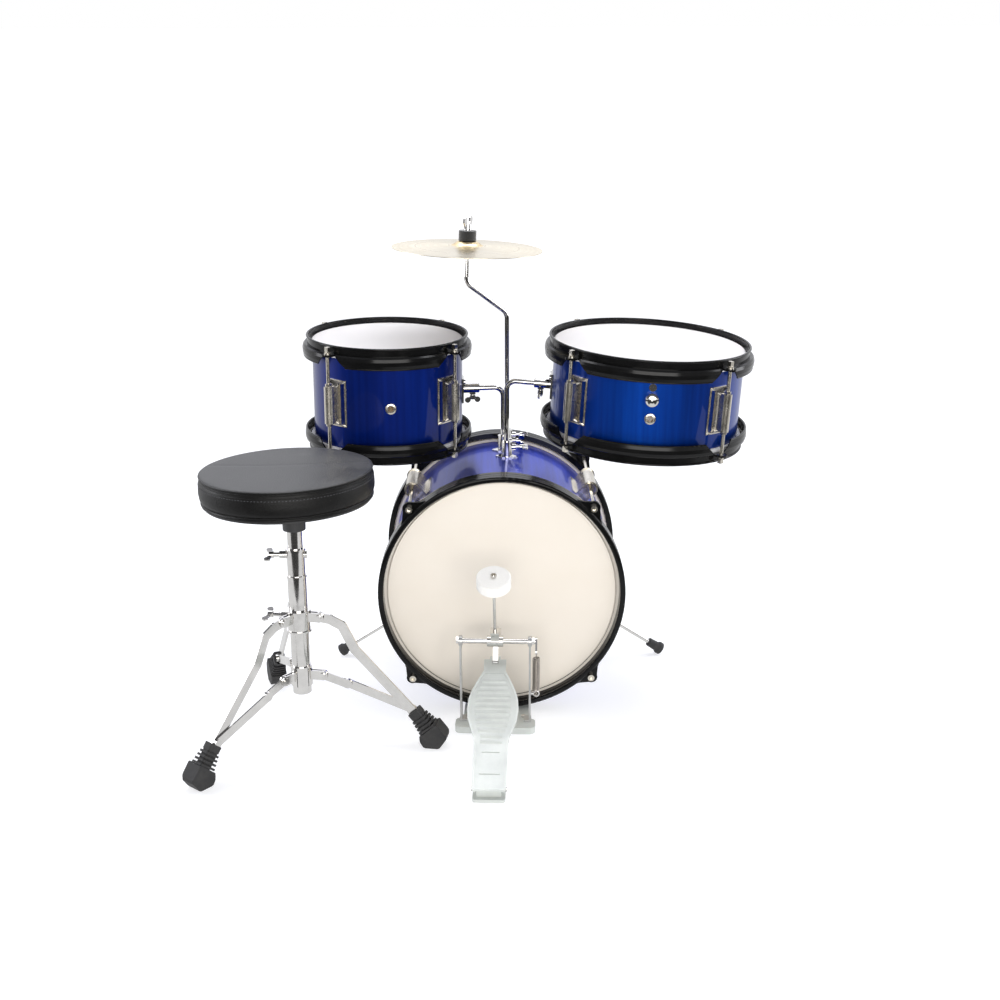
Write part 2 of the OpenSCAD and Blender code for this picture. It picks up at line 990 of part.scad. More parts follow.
module cymbal_wing_nut() {
    base = cymbal_top + gap + 13.3;
    color(chrome)
        on_cymbal()
            translate([0, 0, base])
                rotate([0, 0, 40]) {
                    difference() {
                        union() {
                            cylinder(d = 10.5, h = 3);
                            cylinder(d = 9, h = 8.5);
                            for (side = [0, 180])
                                rotate([0, 0, side])
                                    translate([2.9, 1, 0])
                                        rotate([90, 0, 0])
                                            linear_extrude(2)
                                                difference() {
                                                    union() {
                                                        polygon([[0, 2], [5, 2], [11, 9], [7, 15], [0, 8]]);
                                                        translate([8, 13])
                                                            circle(r = 5, $fn = 32);
                                                    }
                                                    translate([-6, 8.5])
                                                        square([7.4, 12]);
                                                }
                        }
                        translate([0, 0, -1])
                            cylinder(d = 5.6 + 2 * fit, h = 30);
                    }
                }
}

// ---------- pedal, in a frame on the floor below the beater axle ----------

module on_pedal() {
    translate([pedal_at[0], pedal_at[1], 0])
        rotate([0, 0, pedal_turn])
            children();
}

module rounded_plate(x, y, h, r) {
    linear_extrude(h) {
        square([x - 2 * r, y], center = true);
        square([x, y - 2 * r], center = true);
        for (sx = [-1, 1])
            for (sy = [-1, 1])
                translate([sx * (x / 2 - r), sy * (y / 2 - r)])
                    circle(r = r, $fn = 32);
    }
}

// Foot bar, tongue under the hoop, spine and heel block with its two hinge ears
module pedal_base() {
    color("gainsboro")
        on_pedal()
            difference() {
                union() {
                    translate([0, -10, 0])
                        rounded_plate(106, 28, 9, 8);
                    translate([0, 28, 0])
                        rounded_plate(88, 84, 2.8, 6);
                    translate([0, 10, 0])
                        rounded_plate(88, 22, 6, 4);
                    translate([-13, heel_y, 0])
                        cube([26, -heel_y - 10, 3]);
                    translate([0, heel_y + 3, 0])
                        rounded_plate(40, 30, 4, 4);
                    translate([-15, heel_y - 5, 0])
                        cube([30, 10, heel_z]);
                    translate([-15, heel_y, heel_z])
                        rotate([0, 90, 0])
                            cylinder(d = 7.6, h = 30);
                }
                translate([-40, heel_y, heel_z])
                    rotate([0, 90, 0])
                        cylinder(d = 4.5, h = 80);
            }
    color(chrome)
        on_pedal() {
            translate([-21.6, heel_y, heel_z])
                rotate([0, 90, 0])
                    cylinder(d = 4.4, h = 43.2);
            for (side = [-1, 1])
                translate([side * 20.9 - 1, heel_y, heel_z])
                    rotate([0, 90, 0])
                        cylinder(d = 7.5, h = 2);
            for (side = [-1, 1])
                translate([side * 37, 15, 6.05])
                    cylinder(d = 6.5, h = 2);
        }
}

// Two uprights with rounded feet, their axle bushes, and the spring's eye bolt on the right one
module pedal_frame() {
    color("lightgray")
        on_pedal()
            for (side = [-1, 1])
                difference() {
                    union() {
                        translate([side * upright_x, 0, 9.05])
                            translate([-1.3, -6, 0])
                                cube([2.6, 12, axle_z - 9.05]);
                        translate([side * (upright_x - 3) - 5, -7, 9.05])
                            cube([10, 14, 3]);
                        translate([side * upright_x - 2.2, 0, axle_z])
                            rotate([0, 90, 0])
                                cylinder(r = 7, h = 4.4);
                        translate([side * upright_x - 2.7, 0, axle_z])
                            rotate([0, 90, 0])
                                cylinder(d = 11, h = 5.4);
                    }
                    translate([side * upright_x - 10, 0, axle_z])
                        rotate([0, 90, 0])
                            cylinder(d = 7 + 2 * fit, h = 20);
                }
    color(chrome)
        on_pedal()
            translate([upright_x, 0, 48])
                rotate([0, 90, 0]) {
                    cylinder(d = 4.4, h = spring_x - upright_x - 3.6);
                    translate([0, 0, spring_x - upright_x])
                        rotate([90, 0, 0])
                            rotate_extrude($fn = 48)
                                translate([3.6, 0])
                                    circle(d = 2.2, $fn = 24);
                }
}

// The jaw that holds the hoop down on the tongue, and its screw
module pedal_clamp() {
    jaw_x = pedal_at[0] + 2;
    color(chrome)
        translate([jaw_x, -8, 18.9])
            cylinder(d = 9, h = 3, $fn = 6);
    color("silver")
        difference() {
            union() {
                translate([jaw_x - 16, -14, 2.85])
                    cube([32, 12, 14]);
                translate([jaw_x - 16, -14, 13])
                    cube([32, 20, 6]);
            }
            bass_axis()
                translate([0, 0, -0.4])
                    difference() {
                        cylinder(r = hoop_r + 0.3, h = 40, $fn = 128);
                        translate([0, 0, -1])
                            cylinder(r = hoop_r - hoop_wall - 0.3, h = 42, $fn = 128);
                    }
        }
}

// Footboard in its own frame: +X along the board from the hinge, Y across, Z up from its underside
module on_board() {
    on_pedal()
        translate([0, heel_y, heel_z])
            rotate([0, 0, 90])
                rotate([0, -board_slope, 0])
                    children();
}

module board_outline(inset = 0) {
    half = [[-8, 19], [-6, 20.8], [64, 21], [76, 22.8], [90, 27.2], [104, 31.2], [120, 32.7],
        [136, 31.8], [150, 28.4], [164, 23.4], [176, 18.4], [184, 15]];
    right = [for (p = half) [min(max(p[0], -8 + inset), 184 - inset), p[1] - inset]];
    left = [for (i = [len(half) - 1 : -1 : 0]) [right[i][0], -right[i][1]]];
    polygon(concat(right, left));
}

module footboard() {
    rib_n = 12;
    color("whitesmoke")
        on_board()
            difference() {
                union() {
                    translate([0, 0, board_z])
                        linear_extrude(board_t - 1.2)
                            board_outline();
                    translate([0, 0, board_z])
                        linear_extrude(board_t)
                            difference() {
                                board_outline();
                                board_outline(3);
                            }
                    for (i = [0 : rib_n - 1]) {
                        s = 64 + i * 9.2;
                        w = s < 78 ? 27 : 27 + 19 * sin(min(180, (s - 70) * 1.75));
                        translate([s + 2.3, w / 2, board_z + 1.4])
                            rotate([90, 0, 0])
                                linear_extrude(w)
                                    difference() {
                                        circle(r = 3, $fn = 40);
                                        translate([-4, -8.9])
                                            square([8, 8]);
                                    }
                    }
                    translate([16, -13, board_z])
                        difference() {
                            cube([36, 26, board_t - 0.2]);
                            translate([2, 2, 1])
                                cube([32, 22, board_t]);
                        }
                    translate([176, -14.4, board_z])
                        cube([toe - 176 - 1, 28.8, board_t - 1]);
                    for (side = [-1, 1])
                        translate([toe - 6, side * 5.5 - 1.2, -3.4])
                            cube([12, 2.4, board_z + 5]);
                    for (side = [-1, 1])
                        translate([0, side * 18.2 - 1.3, 0]) {
                            translate([-5, 0, 0])
                                cube([16, 2.6, board_z + 1]);
                            rotate([-90, 0, 0])
                                cylinder(d = 10, h = 2.6);
                        }
                }
                rotate([90, 0, 0])
                    translate([0, 0, -30])
                        cylinder(d = 4.4 + 2 * fit, h = 60);
                translate([toe, 0, 0])
                    rotate([90, 0, 0])
                        translate([0, 0, -12])
                            cylinder(d = 3.1, h = 24);
                translate([toe - 9, -4.2, board_z - 2])
                    cube([30, 8.4, 12]);
            }
}

// The axle with its hub, the crank that the link pulls, and the spring's crank at the right
module beater_axle() {
    color(chrome)
        on_pedal()
            translate([0, 0, axle_z]) {
                difference() {
                    union() {
                        translate([-51, 0, 0])
                            rotate([0, 90, 0])
                                cylinder(d = 7, h = 51 + spring_x);
                        translate([-10.5, 0, 0])
                            rotate([0, 90, 0])
                                cylinder(d = 15, h = 21);
                        rotate([beater_lean, 0, 0])
                            translate([-5.5, -5.5, 4])
                                cube([11, 11, 15]);
                        for (side = [-1, 1])
                            translate([side * 6 - 1.2, 0, 0])
                                rotate([90, 0, 90])
                                    linear_extrude(2.4) {
                                        translate([crank_y, crank_z])
                                            circle(r = 4.4, $fn = 40);
                                        polygon([[0, 7.4], [crank_y + 1, crank_z + 4.3],
                                            [crank_y + 1, crank_z - 4.3], [0, -7.4]]);
                                    }
                        for (side = [-1, 1])
                            translate([side * 49.9 - 1.3, 0, 0])
                                rotate([0, 90, 0])
                                    cylinder(d = 10, h = 2.6, $fn = 6);
                    }
                    rotate([beater_lean, 0, 0])
                        translate([0, 0, 8])
                            cylinder(d = 4.1, h = 20);
                }
                translate([-6, crank_y, crank_z])
                    rotate([0, 90, 0])
                        cylinder(d = 4, h = 12);
                translate([spring_x - 1.2, 0, 0])
                    rotate([90, 0, 90])
                        linear_extrude(2.4)
                            difference() {
                                union() {
                                    circle(r = 6, $fn = 40);
                                    translate([-12, -9])
                                        circle(r = 4, $fn = 40);
                                    polygon([[-4.8, 3.6], [-14.5, -5.8], [-9.6, -12.2], [3.6, -4.8]]);
                                }
                                translate([-12, -9])
                                    circle(r = 1.5, $fn = 24);
                            }
            }
}

// Shapes on the beater shaft: +Z runs up the shaft from the axle
module on_beater() {
    on_pedal()
        translate([0, 0, axle_z])
            rotate([beater_lean, 0, 0])
                children();
}

module beater_shaft() {
    color(chrome)
        on_beater() {
            translate([0, 0, 8.5])
                cylinder(d = 4, h = beater_reach + 4);
            translate([0, 0, beater_reach - 11.2])
                cylinder(d = 10, h = 2.6);
            translate([0, 0, beater_reach + 8.6])
                cylinder(d = 8, h = 3, $fn = 6);
        }
}

module beater_head() {
    color("white")
        on_beater()
            translate([0, 0, beater_reach - 8.5])
                difference() {
                    rotate_extrude($fn = 96)
                        polygon([[0, 0], [beater_d / 2 - 1.5, 0], [beater_d / 2, 1.5],
                            [beater_d / 2, 15.5], [beater_d / 2 - 1.5, 17], [0, 17]]);
                    translate([0, 0, -1])
                        cylinder(d = 4.1, h = 20);
                }
}

// The link hangs from the crank pin to the toe pin
module pedal_link() {
    toe_y = heel_y + toe * cos(board_slope);
    toe_z = heel_z + toe * sin(board_slope);
    run = [crank_y - toe_y, axle_z + crank_z - toe_z];
    color("gray")
        on_pedal()
            translate([-3.6, toe_y, toe_z])
                rotate([atan2(run[1], run[0]), 0, 0])
                    rotate([90, 0, 90])
                        linear_extrude(7.2)
                            difference() {
                                union() {
                                    circle(r = 4, $fn = 40);
                                    translate([0, -3])
                                        square([norm(run), 6]);
                                    translate([norm(run), 0])
                                        circle(r = 5.8, $fn = 40);
                                }
                                translate([norm(run), 0])
                                    circle(r = 3.7, $fn = 40);
                            }
    color(chrome)
        on_pedal()
            translate([-8, toe_y, toe_z])
                rotate([0, 90, 0])
                    cylinder(d = 3, h = 16);
}

// A close-wound spring between the eye bolt and the spring crank
module pedal_spring() {
    low = 52;
    high = 106;
    coil_n = 15;
    pitch = (high - low) / coil_n;
    color(chrome)
        on_pedal()
            translate([spring_x, -6, low]) {
                for (i = [0 : coil_n - 1])
                    translate([0, 0, (i + 0.5) * pitch])
                        rotate_extrude($fn = 40)
                            translate([3.9, 0])
                                circle(d = pitch + 0.1, $fn = 20);
            }
}

// ---------- throne ----------

module on_throne() {
    translate([throne_at[0], throne_at[1], 0])
        children();
}

// An upright cylinder between two heights
module cylinder_from(low, high, d) {
    translate([0, 0, low])
        cylinder(d = d, h = high - low);
}

// Two ears that hold a strip of thickness t at a pivot, and their rivet
module ear_pair(at, t, root) {
    for (side = [-1, 1])
        translate([0, side * (t / 2 + gap + 1), 0])
            strip([[root, at[1]], at], 13, 2);
    cross_pin(at, rivet_d, t + 7);
    for (side = [-1, 1])
        translate([0, side * (t / 2 + gap + 2.6), 0])
            cross_pin(at, 7.5, 1.4);
}

module throne_tube() {
    color(chrome)
        on_throne()
            difference() {
                union() {
                    translate([0, 0, tube_low])
                        cylinder(d = tube_d, h = tube_high - tube_low);
                    translate([0, 0, tube_high - 1])
                        cylinder(d = 22.5, h = sleeve_high - tube_high + 1);
                    for (z = [tube_high, sleeve_high - 3])
                        translate([0, 0, z])
                            cylinder(d = 25.5, h = 3);
                    translate([0, 0, brace_pivot[1] - 14])
                        cylinder(d = 28, h = 27);
                    translate([-20, 0, sleeve_high - 9])
                        rotate([0, 90, 0])
                            cylinder(d = 10, h = 14);
                    translate([10, 0, sleeve_high - 9])
                        rotate([0, 90, 0])
                            cylinder(d = 9, h = 4.5);
                    for (turn = leg_turns)
                        rotate([0, 0, turn])
                            ear_pair(brace_pivot, brace_t, 11);
                }
                cylinder_from(0, 400, post_d + 2 * fit);
                translate([-30, 0, sleeve_high - 9])
                    rotate([0, 90, 0])
                        cylinder(d = 6 + 2 * fit, h = 22);
            }
}

module throne_post() {
    color(chrome)
        on_throne()
            difference() {
                cylinder_from(post_low, post_high, post_d);
                cylinder_from(post_low - 1, post_high + 1, spigot_d + 2 * fit);
            }
}

module throne_post_bolt() {
    color(chrome)
        on_throne()
            translate([-post_d / 2 - 0.4, 0, sleeve_high - 9])
                rotate([0, -90, 0])
                    rotate(80)
                        wing_screw(6, 17.5, 12);
}

// The sliding collar: a sleeve with two beads, three pairs of ears and a bolt boss
module throne_collar() {
    color(chrome)
        on_throne()
            difference() {
                union() {
                    cylinder_from(152, 178, tube_d + 5);
                    for (z = [150, 177])
                        cylinder_from(z, z + 2.5, tube_d + 8);
                    for (turn = leg_turns)
                        rotate([0, 0, turn])
                            ear_pair(leg_pivot, strip_t, 11);
                    rotate([0, 0, 170])
                        translate([10, 0, leg_pivot[1]])
                            rotate([0, 90, 0])
                                cylinder(d = 10, h = 12);
                }
                cylinder_from(140, 190, tube_d + 2 * fit);
                rotate([0, 0, 170])
                    translate([10, 0, leg_pivot[1]])
                        rotate([0, 90, 0])
                            cylinder(d = 6 + 2 * fit, h = 20);
            }
}

module throne_collar_bolt() {
    color(chrome)
        on_throne()
            rotate([0, 0, 170])
                translate([tube_d / 2 + 0.4, 0, leg_pivot[1]])
                    rotate([0, 90, 0])
                        rotate(80)
                            wing_screw(6, 22, 12);
}

// A leg strip with its joggles, and the ribbed rubber foot on its end
module throne_leg(turn) {
    color(chrome)
        on_throne()
            rotate([0, 0, turn])
                difference() {
                    union() {
                        strip([leg_pivot, [41, 168], leg_knee, leg_bend, rivet_at, leg_end], 13, strip_t);
                        translate([0, brace_t + 0.35, 0])
                            cross_pin(rivet_at, rivet_d, strip_t + 3);
                        translate([0, strip_t / 2 + brace_t + 1.3, 0])
                            cross_pin(rivet_at, 11, 1.2);
                    }
                    cross_pin(leg_pivot, rivet_d + 2 * fit, 20);
                }
    color(rubber)
        on_throne()
            rotate([0, 0, turn])
                foot();
}

// A ribbed boot round the leg's end, and a toe block that lies flat on the floor
module foot() {
    difference() {
        union() {
            translate([foot_at[0], 0, foot_at[1]])
                rotate([0, foot_turn, 0])
                    rotate([0, 90, 0]) {
                        linear_extrude(9)
                            foot_section(18.5, 16);
                        for (i = [0 : 3])
                            translate([0, 0, 11 + i * 5.2])
                                linear_extrude(2.8)
                                    foot_section(22 + i * 1.5, 18 + i);
                        translate([0, 0, 8])
                            linear_extrude(26)
                                foot_section(17, 14.5);
                    }
            intersection() {
                rotate([90, 0, 0])
                    translate([0, 0, -12])
                        linear_extrude(24)
                            polygon([[157, 14.2], [157.8, 8], [162.5, 1], [165, 0], [181, 0], [184, 1.2],
                                [192.8, 14], [192.8, 18.5], [180.4, 34], [178, 33.4]]);
                translate([175, 0, -1])
                    linear_extrude(40)
                        foot_section(37, 22.5);
            }
        }
        strip([rivet_at, leg_end], 13.1, strip_t + 0.1);
        translate([0, strip_t / 2 + brace_t / 2 + gap, 0])
            cross_pin(rivet_at, 17.5, brace_t + 2 * gap);
    }
}

module foot_section(w, h) {
    square([w - 8, h], center = true);
    square([w, h - 8], center = true);
    for (sx = [-1, 1])
        for (sy = [-1, 1])
            translate([sx * (w / 2 - 4), sy * (h / 2 - 4)])
                circle(r = 4, $fn = 24);
}

// A brace from the hub's ears to the leg's rivet, beside the leg
module throne_brace(turn) {
    side = strip_t / 2 + brace_t / 2 + gap;
    color(chrome)
        on_throne()
            rotate([0, 0, turn])
                difference() {
                    union() {
                        strip([brace_pivot, [60, 79]], 12, brace_t);
                        translate([0, side / 2, 0])
                            strip([[60, 79], [61, 78.7]], 12.6, brace_t + side);
                        translate([0, side, 0])
                            strip([[61, 78.7], rivet_at], 12, brace_t);
                    }
                    cross_pin(brace_pivot, rivet_d + 2 * fit, 20);
                    translate([0, side, 0])
                        cross_pin(rivet_at, rivet_d + 4.4, 10);
                }
}

module throne_leg_right() {
    throne_leg(leg_turns[0]);
}

module throne_leg_rear() {
    throne_leg(leg_turns[1]);
}

module throne_leg_left() {
    throne_leg(leg_turns[2]);
}

module throne_brace_right() {
    throne_brace(leg_turns[0]);
}

module throne_brace_rear() {
    throne_brace(leg_turns[1]);
}

module throne_brace_left() {
    throne_brace(leg_turns[2]);
}

// The seat leans a little on the hub that turns in the post
module on_seat() {
    on_throne()
        translate(seat_at)
            rotate(seat_tip)
                children();
}

module seat_pan() {
    color(black)
        difference() {
            union() {
                on_throne()
                    cylinder_from(post_high + gap, seat_at[2] + 3, 29);
                on_seat()
                    cylinder(d = seat_d - 12, h = 5);
            }
            on_throne()
                cylinder_from(post_high - 10, post_high + gap, 40);
        }
    color(black)
        on_throne()
            cylinder_from(post_high - 40, post_high + 4, spigot_d);
}

module seat_cushion() {
    color("darkslategray")
        on_seat()
            difference() {
                translate([0, 0, 0.4])
                    rotate_extrude($fn = 96)
                        polygon([[0, 0], [seat_d / 2 - 3, 0], [seat_d / 2, 3], [seat_d / 2, seat_t - 7],
                            [seat_d / 2 - 3, seat_t - 2.4], [0, seat_t]]);
                translate([0, 0, -1])
                    cylinder(d = seat_d - 11, h = 6.3);
            }
}

bass_shell();
bass_hoops();
bass_heads();
bass_lugs();
bass_rods();
rod_clamps();
tom_clamp_screw();
snare_clamp_screw();
cymbal_clamp_screw();
spur_brackets();
spur_bolt_left();
spur_bolt_right();
spur_left();
spur_right();
tom_arm();
tom_shell();
tom_rims();
tom_heads();
tom_lugs();
tom_rods();
tom_bracket();
tom_bracket_bolt();
snare_arm();
snare_shell();
snare_rims();
snare_heads();
snare_lugs();
snare_rods();
snare_bracket();
snare_bracket_bolt();
snare_wires();
snare_muffler();
muffler_knob();
cymbal_arm();
cymbal_seat();
cymbal();
cymbal_felt();
cymbal_wing_nut();
pedal_base();
pedal_frame();
pedal_clamp();
footboard();
beater_axle();
beater_shaft();
beater_head();
pedal_link();
pedal_spring();
throne_tube();
throne_post();
throne_post_bolt();
throne_collar();
throne_collar_bolt();
throne_leg_right();
throne_leg_rear();
throne_leg_left();
throne_brace_right();
throne_brace_rear();
throne_brace_left();
seat_pan();
seat_cushion();
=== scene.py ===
"""Looks of a junior acoustic drum kit: materials, stool cushion, pedal spring, studio and camera."""
import math
import bmesh
import bpy
from mathutils import Euler, Matrix, Vector
from mathutils.bvhtree import BVHTree


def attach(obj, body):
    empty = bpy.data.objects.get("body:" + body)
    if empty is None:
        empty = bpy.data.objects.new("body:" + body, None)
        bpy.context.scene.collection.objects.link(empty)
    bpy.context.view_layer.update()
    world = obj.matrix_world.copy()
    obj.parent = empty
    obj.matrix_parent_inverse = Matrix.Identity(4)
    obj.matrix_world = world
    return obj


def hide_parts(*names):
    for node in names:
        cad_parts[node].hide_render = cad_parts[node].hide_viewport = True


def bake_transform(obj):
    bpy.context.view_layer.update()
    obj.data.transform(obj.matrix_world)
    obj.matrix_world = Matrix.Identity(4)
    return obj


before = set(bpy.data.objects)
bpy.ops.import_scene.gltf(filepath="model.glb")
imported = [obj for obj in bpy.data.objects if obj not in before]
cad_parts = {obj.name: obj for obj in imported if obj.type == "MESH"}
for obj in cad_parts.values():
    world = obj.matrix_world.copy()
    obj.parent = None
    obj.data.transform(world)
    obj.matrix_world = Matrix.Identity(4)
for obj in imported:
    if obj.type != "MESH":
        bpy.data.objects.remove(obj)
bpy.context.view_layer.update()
MM = 0.001

# Frames that the CAD uses, in metres
BASS_AXIS_Z = 0.168
TOM_CENTRE = Vector((-0.15416, 0.14795, 0.41567))
SNARE_CENTRE = Vector((0.19617, 0.11793, 0.42172))
CYMBAL_ELBOW = Vector((-0.0460, 0.16697, 0.5568))
CYMBAL_AXIS = Vector((0.03747, 0.02234, 0.99905))
PEDAL_AT = Vector((-0.009, -0.045, 0.0))
PEDAL_TURN = math.radians(-2.6)
THRONE_AT = Vector((-0.261, -0.068, 0.0))
SEAT_AT = Vector((-0.2653, -0.0774, 0.3302))
SEAT_TIP = (math.radians(-2.0), math.radians(-1.3), 0.0)
LEG_TURNS = {"right": -10, "rear": 110, "left": 230}
SPUR_AT = Vector((0.127, 0.158, 0.0865))
SPUR_POLAR = math.radians(125.2)
SPUR_PLAN = math.radians(12.7)
FOOT_AT = (0.149, 0.0475)
FOOT_TURN = math.radians(50)

# Where one CAD solid changes finish: a cosine, then metres
OUTWARD = 0.3
COLLAR_RADIUS = 0.1581
SPUR_RUBBER_FROM = 0.1140
BOOT_FROM = -0.0002
HEEL_PIN_X = 0.0151
HEEL_PIN_Z = 0.013
HEEL_PIN_REACH = 0.0039
STUD_Z = 0.00602
STUD_Y = 0.008
EYE_BOLT_X = 0.0478
EYE_BOLT_TOP = 0.06


# ---------- small helpers ----------

ON_AXIS = 1e-6
TUBE_SIDES = 8


def lathe(name, profile, steps):
    """A closed solid of revolution about Z, from (radius, height) points that end on the axis."""
    bm = bmesh.new()
    rings = []
    for radius, height in profile:
        if radius < ON_AXIS:
            rings.append([bm.verts.new((0, 0, height))])
            continue
        ring = []
        for i in range(steps):
            a = 2 * math.pi * i / steps
            ring.append(bm.verts.new((radius * math.cos(a), radius * math.sin(a), height)))
        rings.append(ring)
    for low, high in zip(rings, rings[1:]):
        for i in range(steps):
            j = (i + 1) % steps
            if len(low) == 1:
                bm.faces.new((low[0], high[i], high[j]))
            elif len(high) == 1:
                bm.faces.new((low[i], low[j], high[0]))
            else:
                bm.faces.new((low[i], low[j], high[j], high[i]))
    bmesh.ops.recalc_face_normals(bm, faces=bm.faces)
    return mesh_object(name, bm)


def mesh_object(name, bm):
    mesh = bpy.data.meshes.new(name)
    bm.to_mesh(mesh)
    bm.free()
    obj = bpy.data.objects.new(name, mesh)
    bpy.context.scene.collection.objects.link(obj)
    return obj


def shade_smooth(obj):
    for face in obj.data.polygons:
        face.use_smooth = True


def tube(name, points, radius, closed=False):
    """A round tube of constant radius along a path."""
    bm = bmesh.new()
    n = len(points)
    rings = []
    normal = None
    for i, p in enumerate(points):
        before = points[(i - 1) % n] if closed or i else p
        after = points[(i + 1) % n] if closed or i < n - 1 else p
        along = (after - before).normalized()
        if normal is None:
            normal = along.orthogonal().normalized()
        normal = (normal - along * normal.dot(along)).normalized()
        side = along.cross(normal)
        ring = []
        for k in range(TUBE_SIDES):
            a = 2 * math.pi * k / TUBE_SIDES
            ring.append(bm.verts.new(p + radius * (normal * math.cos(a) + side * math.sin(a))))
        rings.append(ring)
    spans = list(zip(rings, rings[1:]))
    if closed:
        spans.append((rings[-1], rings[0]))
    for low, high in spans:
        for k in range(TUBE_SIDES):
            j = (k + 1) % TUBE_SIDES
            bm.faces.new((low[k], low[j], high[j], high[k]))
    if not closed:
        bm.faces.new(list(reversed(rings[0])))
        bm.faces.new(rings[-1])
    bmesh.ops.recalc_face_normals(bm, faces=bm.faces)
    obj = mesh_object(name, bm)
    shade_smooth(obj)
    return obj


def apply_modifiers(obj):
    """Keeps the evaluated mesh and drops every modifier."""
    graph = bpy.context.evaluated_depsgraph_get()
    mesh = bpy.data.meshes.new_from_object(obj.evaluated_get(graph))
    obj.modifiers.clear()
    obj.data = mesh


# ---------- material helpers ----------

def color_ramp(tree, source, stops):
    """A colour ramp of (position, colour) stops."""
    ramp = tree.nodes.new("ShaderNodeValToRGB")
    while len(ramp.color_ramp.elements) < len(stops):
        ramp.color_ramp.elements.new(0.5)
    for element, (position, color) in zip(ramp.color_ramp.elements, stops):
        element.position = position
        element.color = (*color, 1)
    tree.links.new(source, ramp.inputs["Fac"])
    return ramp.outputs["Color"]


class Paint:
    """A node material with one Principled shader, and short calls for its textures."""

    def __init__(self, name, color, metallic=0.0, roughness=0.5, coat=0.0, coat_roughness=0.03):
        self.mat = bpy.data.materials.new(name)
        self.mat.use_nodes = True
        self.tree = self.mat.node_tree
        self.shader = self.tree.nodes["Principled BSDF"]
        self.shader.inputs["Base Color"].default_value = (*color, 1)
        self.shader.inputs["Metallic"].default_value = metallic
        self.shader.inputs["Roughness"].default_value = roughness
        self.shader.inputs["Coat Weight"].default_value = coat
        self.shader.inputs["Coat Roughness"].default_value = coat_roughness
        self.height = None

    def link(self, a, b):
        self.tree.links.new(a, b)

    def coords(self, scale=(1, 1, 1)):
        where = self.tree.nodes.new("ShaderNodeTexCoord")
        mapping = self.tree.nodes.new("ShaderNodeMapping")
        mapping.inputs["Scale"].default_value = scale
        self.link(where.outputs["Object"], mapping.inputs["Vector"])
        return mapping.outputs["Vector"]

    def noise(self, scale, detail=3.0, stretch=(1, 1, 1), rough=0.5):
        node = self.tree.nodes.new("ShaderNodeTexNoise")
        node.inputs["Scale"].default_value = scale
        node.inputs["Detail"].default_value = detail
        node.inputs["Roughness"].default_value = rough
        self.link(self.coords(stretch), node.inputs["Vector"])
        return node.outputs["Fac"]

    def cells(self, scale, feature="F1"):
        node = self.tree.nodes.new("ShaderNodeTexVoronoi")
        node.feature = feature
        node.inputs["Scale"].default_value = scale
        self.link(self.coords(), node.inputs["Vector"])
        return node.outputs["Distance"]

    def math(self, kind, a, b=0.0):
        node = self.tree.nodes.new("ShaderNodeMath")
        node.operation = kind
        for socket, value in zip(node.inputs, (a, b)):
            if isinstance(value, (int, float)):
                socket.default_value = value
            else:
                self.link(value, socket)
        return node.outputs["Value"]

    def vector(self, kind, a, b=(0, 0, 0)):
        node = self.tree.nodes.new("ShaderNodeVectorMath")
        node.operation = kind
        self.link(a, node.inputs[0])
        node.inputs[1].default_value = b
        return node.outputs["Value"] if kind == "LENGTH" else node.outputs["Vector"]

    def ramp(self, fac, *stops):
        return color_ramp(self.tree, fac, stops)

    def range(self, fac, low, high, from_low=0.3, from_high=0.7):
        node = self.tree.nodes.new("ShaderNodeMapRange")
        limits = {"From Min": from_low, "From Max": from_high, "To Min": low, "To Max": high}
        for key, value in limits.items():
            node.inputs[key].default_value = value
        self.link(fac, node.inputs["Value"])
        return node.outputs["Result"]

    def blend(self, fac, a, b, kind="MIX"):
        node = self.tree.nodes.new("ShaderNodeMix")
        node.data_type = "RGBA"
        node.blend_type = kind
        for socket, value in ((node.inputs[0], fac), (node.inputs[6], a), (node.inputs[7], b)):
            if isinstance(value, (int, float)):
                socket.default_value = value
            elif isinstance(value, tuple):
                socket.default_value = (*value, 1)
            else:
                self.link(value, socket)
        return node.outputs[2]

    def color(self, socket):
        self.link(socket, self.shader.inputs["Base Color"])

    def roughness(self, socket):
        self.link(socket, self.shader.inputs["Roughness"])

    def bump(self, fac, strength, distance):
        node = self.tree.nodes.new("ShaderNodeBump")
        node.inputs["Strength"].default_value = strength
        node.inputs["Distance"].default_value = distance
        self.link(fac, node.inputs["Height"])
        if self.height:
            self.link(self.height, node.inputs["Normal"])
        self.height = node.outputs["Normal"]
        self.link(self.height, self.shader.inputs["Normal"])

    def set(self, **values):
        for key, value in values.items():
            self.shader.inputs[key.replace("_", " ")].default_value = value

    def translucent(self, share, color):
        """Lets some light through, for a thin skin."""
        back = self.tree.nodes.new("ShaderNodeBsdfTranslucent")
        back.inputs["Color"].default_value = (*color, 1)
        mix = self.tree.nodes.new("ShaderNodeMixShader")
        mix.inputs["Fac"].default_value = share
        out = self.tree.nodes["Material Output"]
        self.link(self.shader.outputs["BSDF"], mix.inputs[1])
        self.link(back.outputs["BSDF"], mix.inputs[2])
        self.link(mix.outputs["Shader"], out.inputs["Surface"])


# ---------- materials ----------

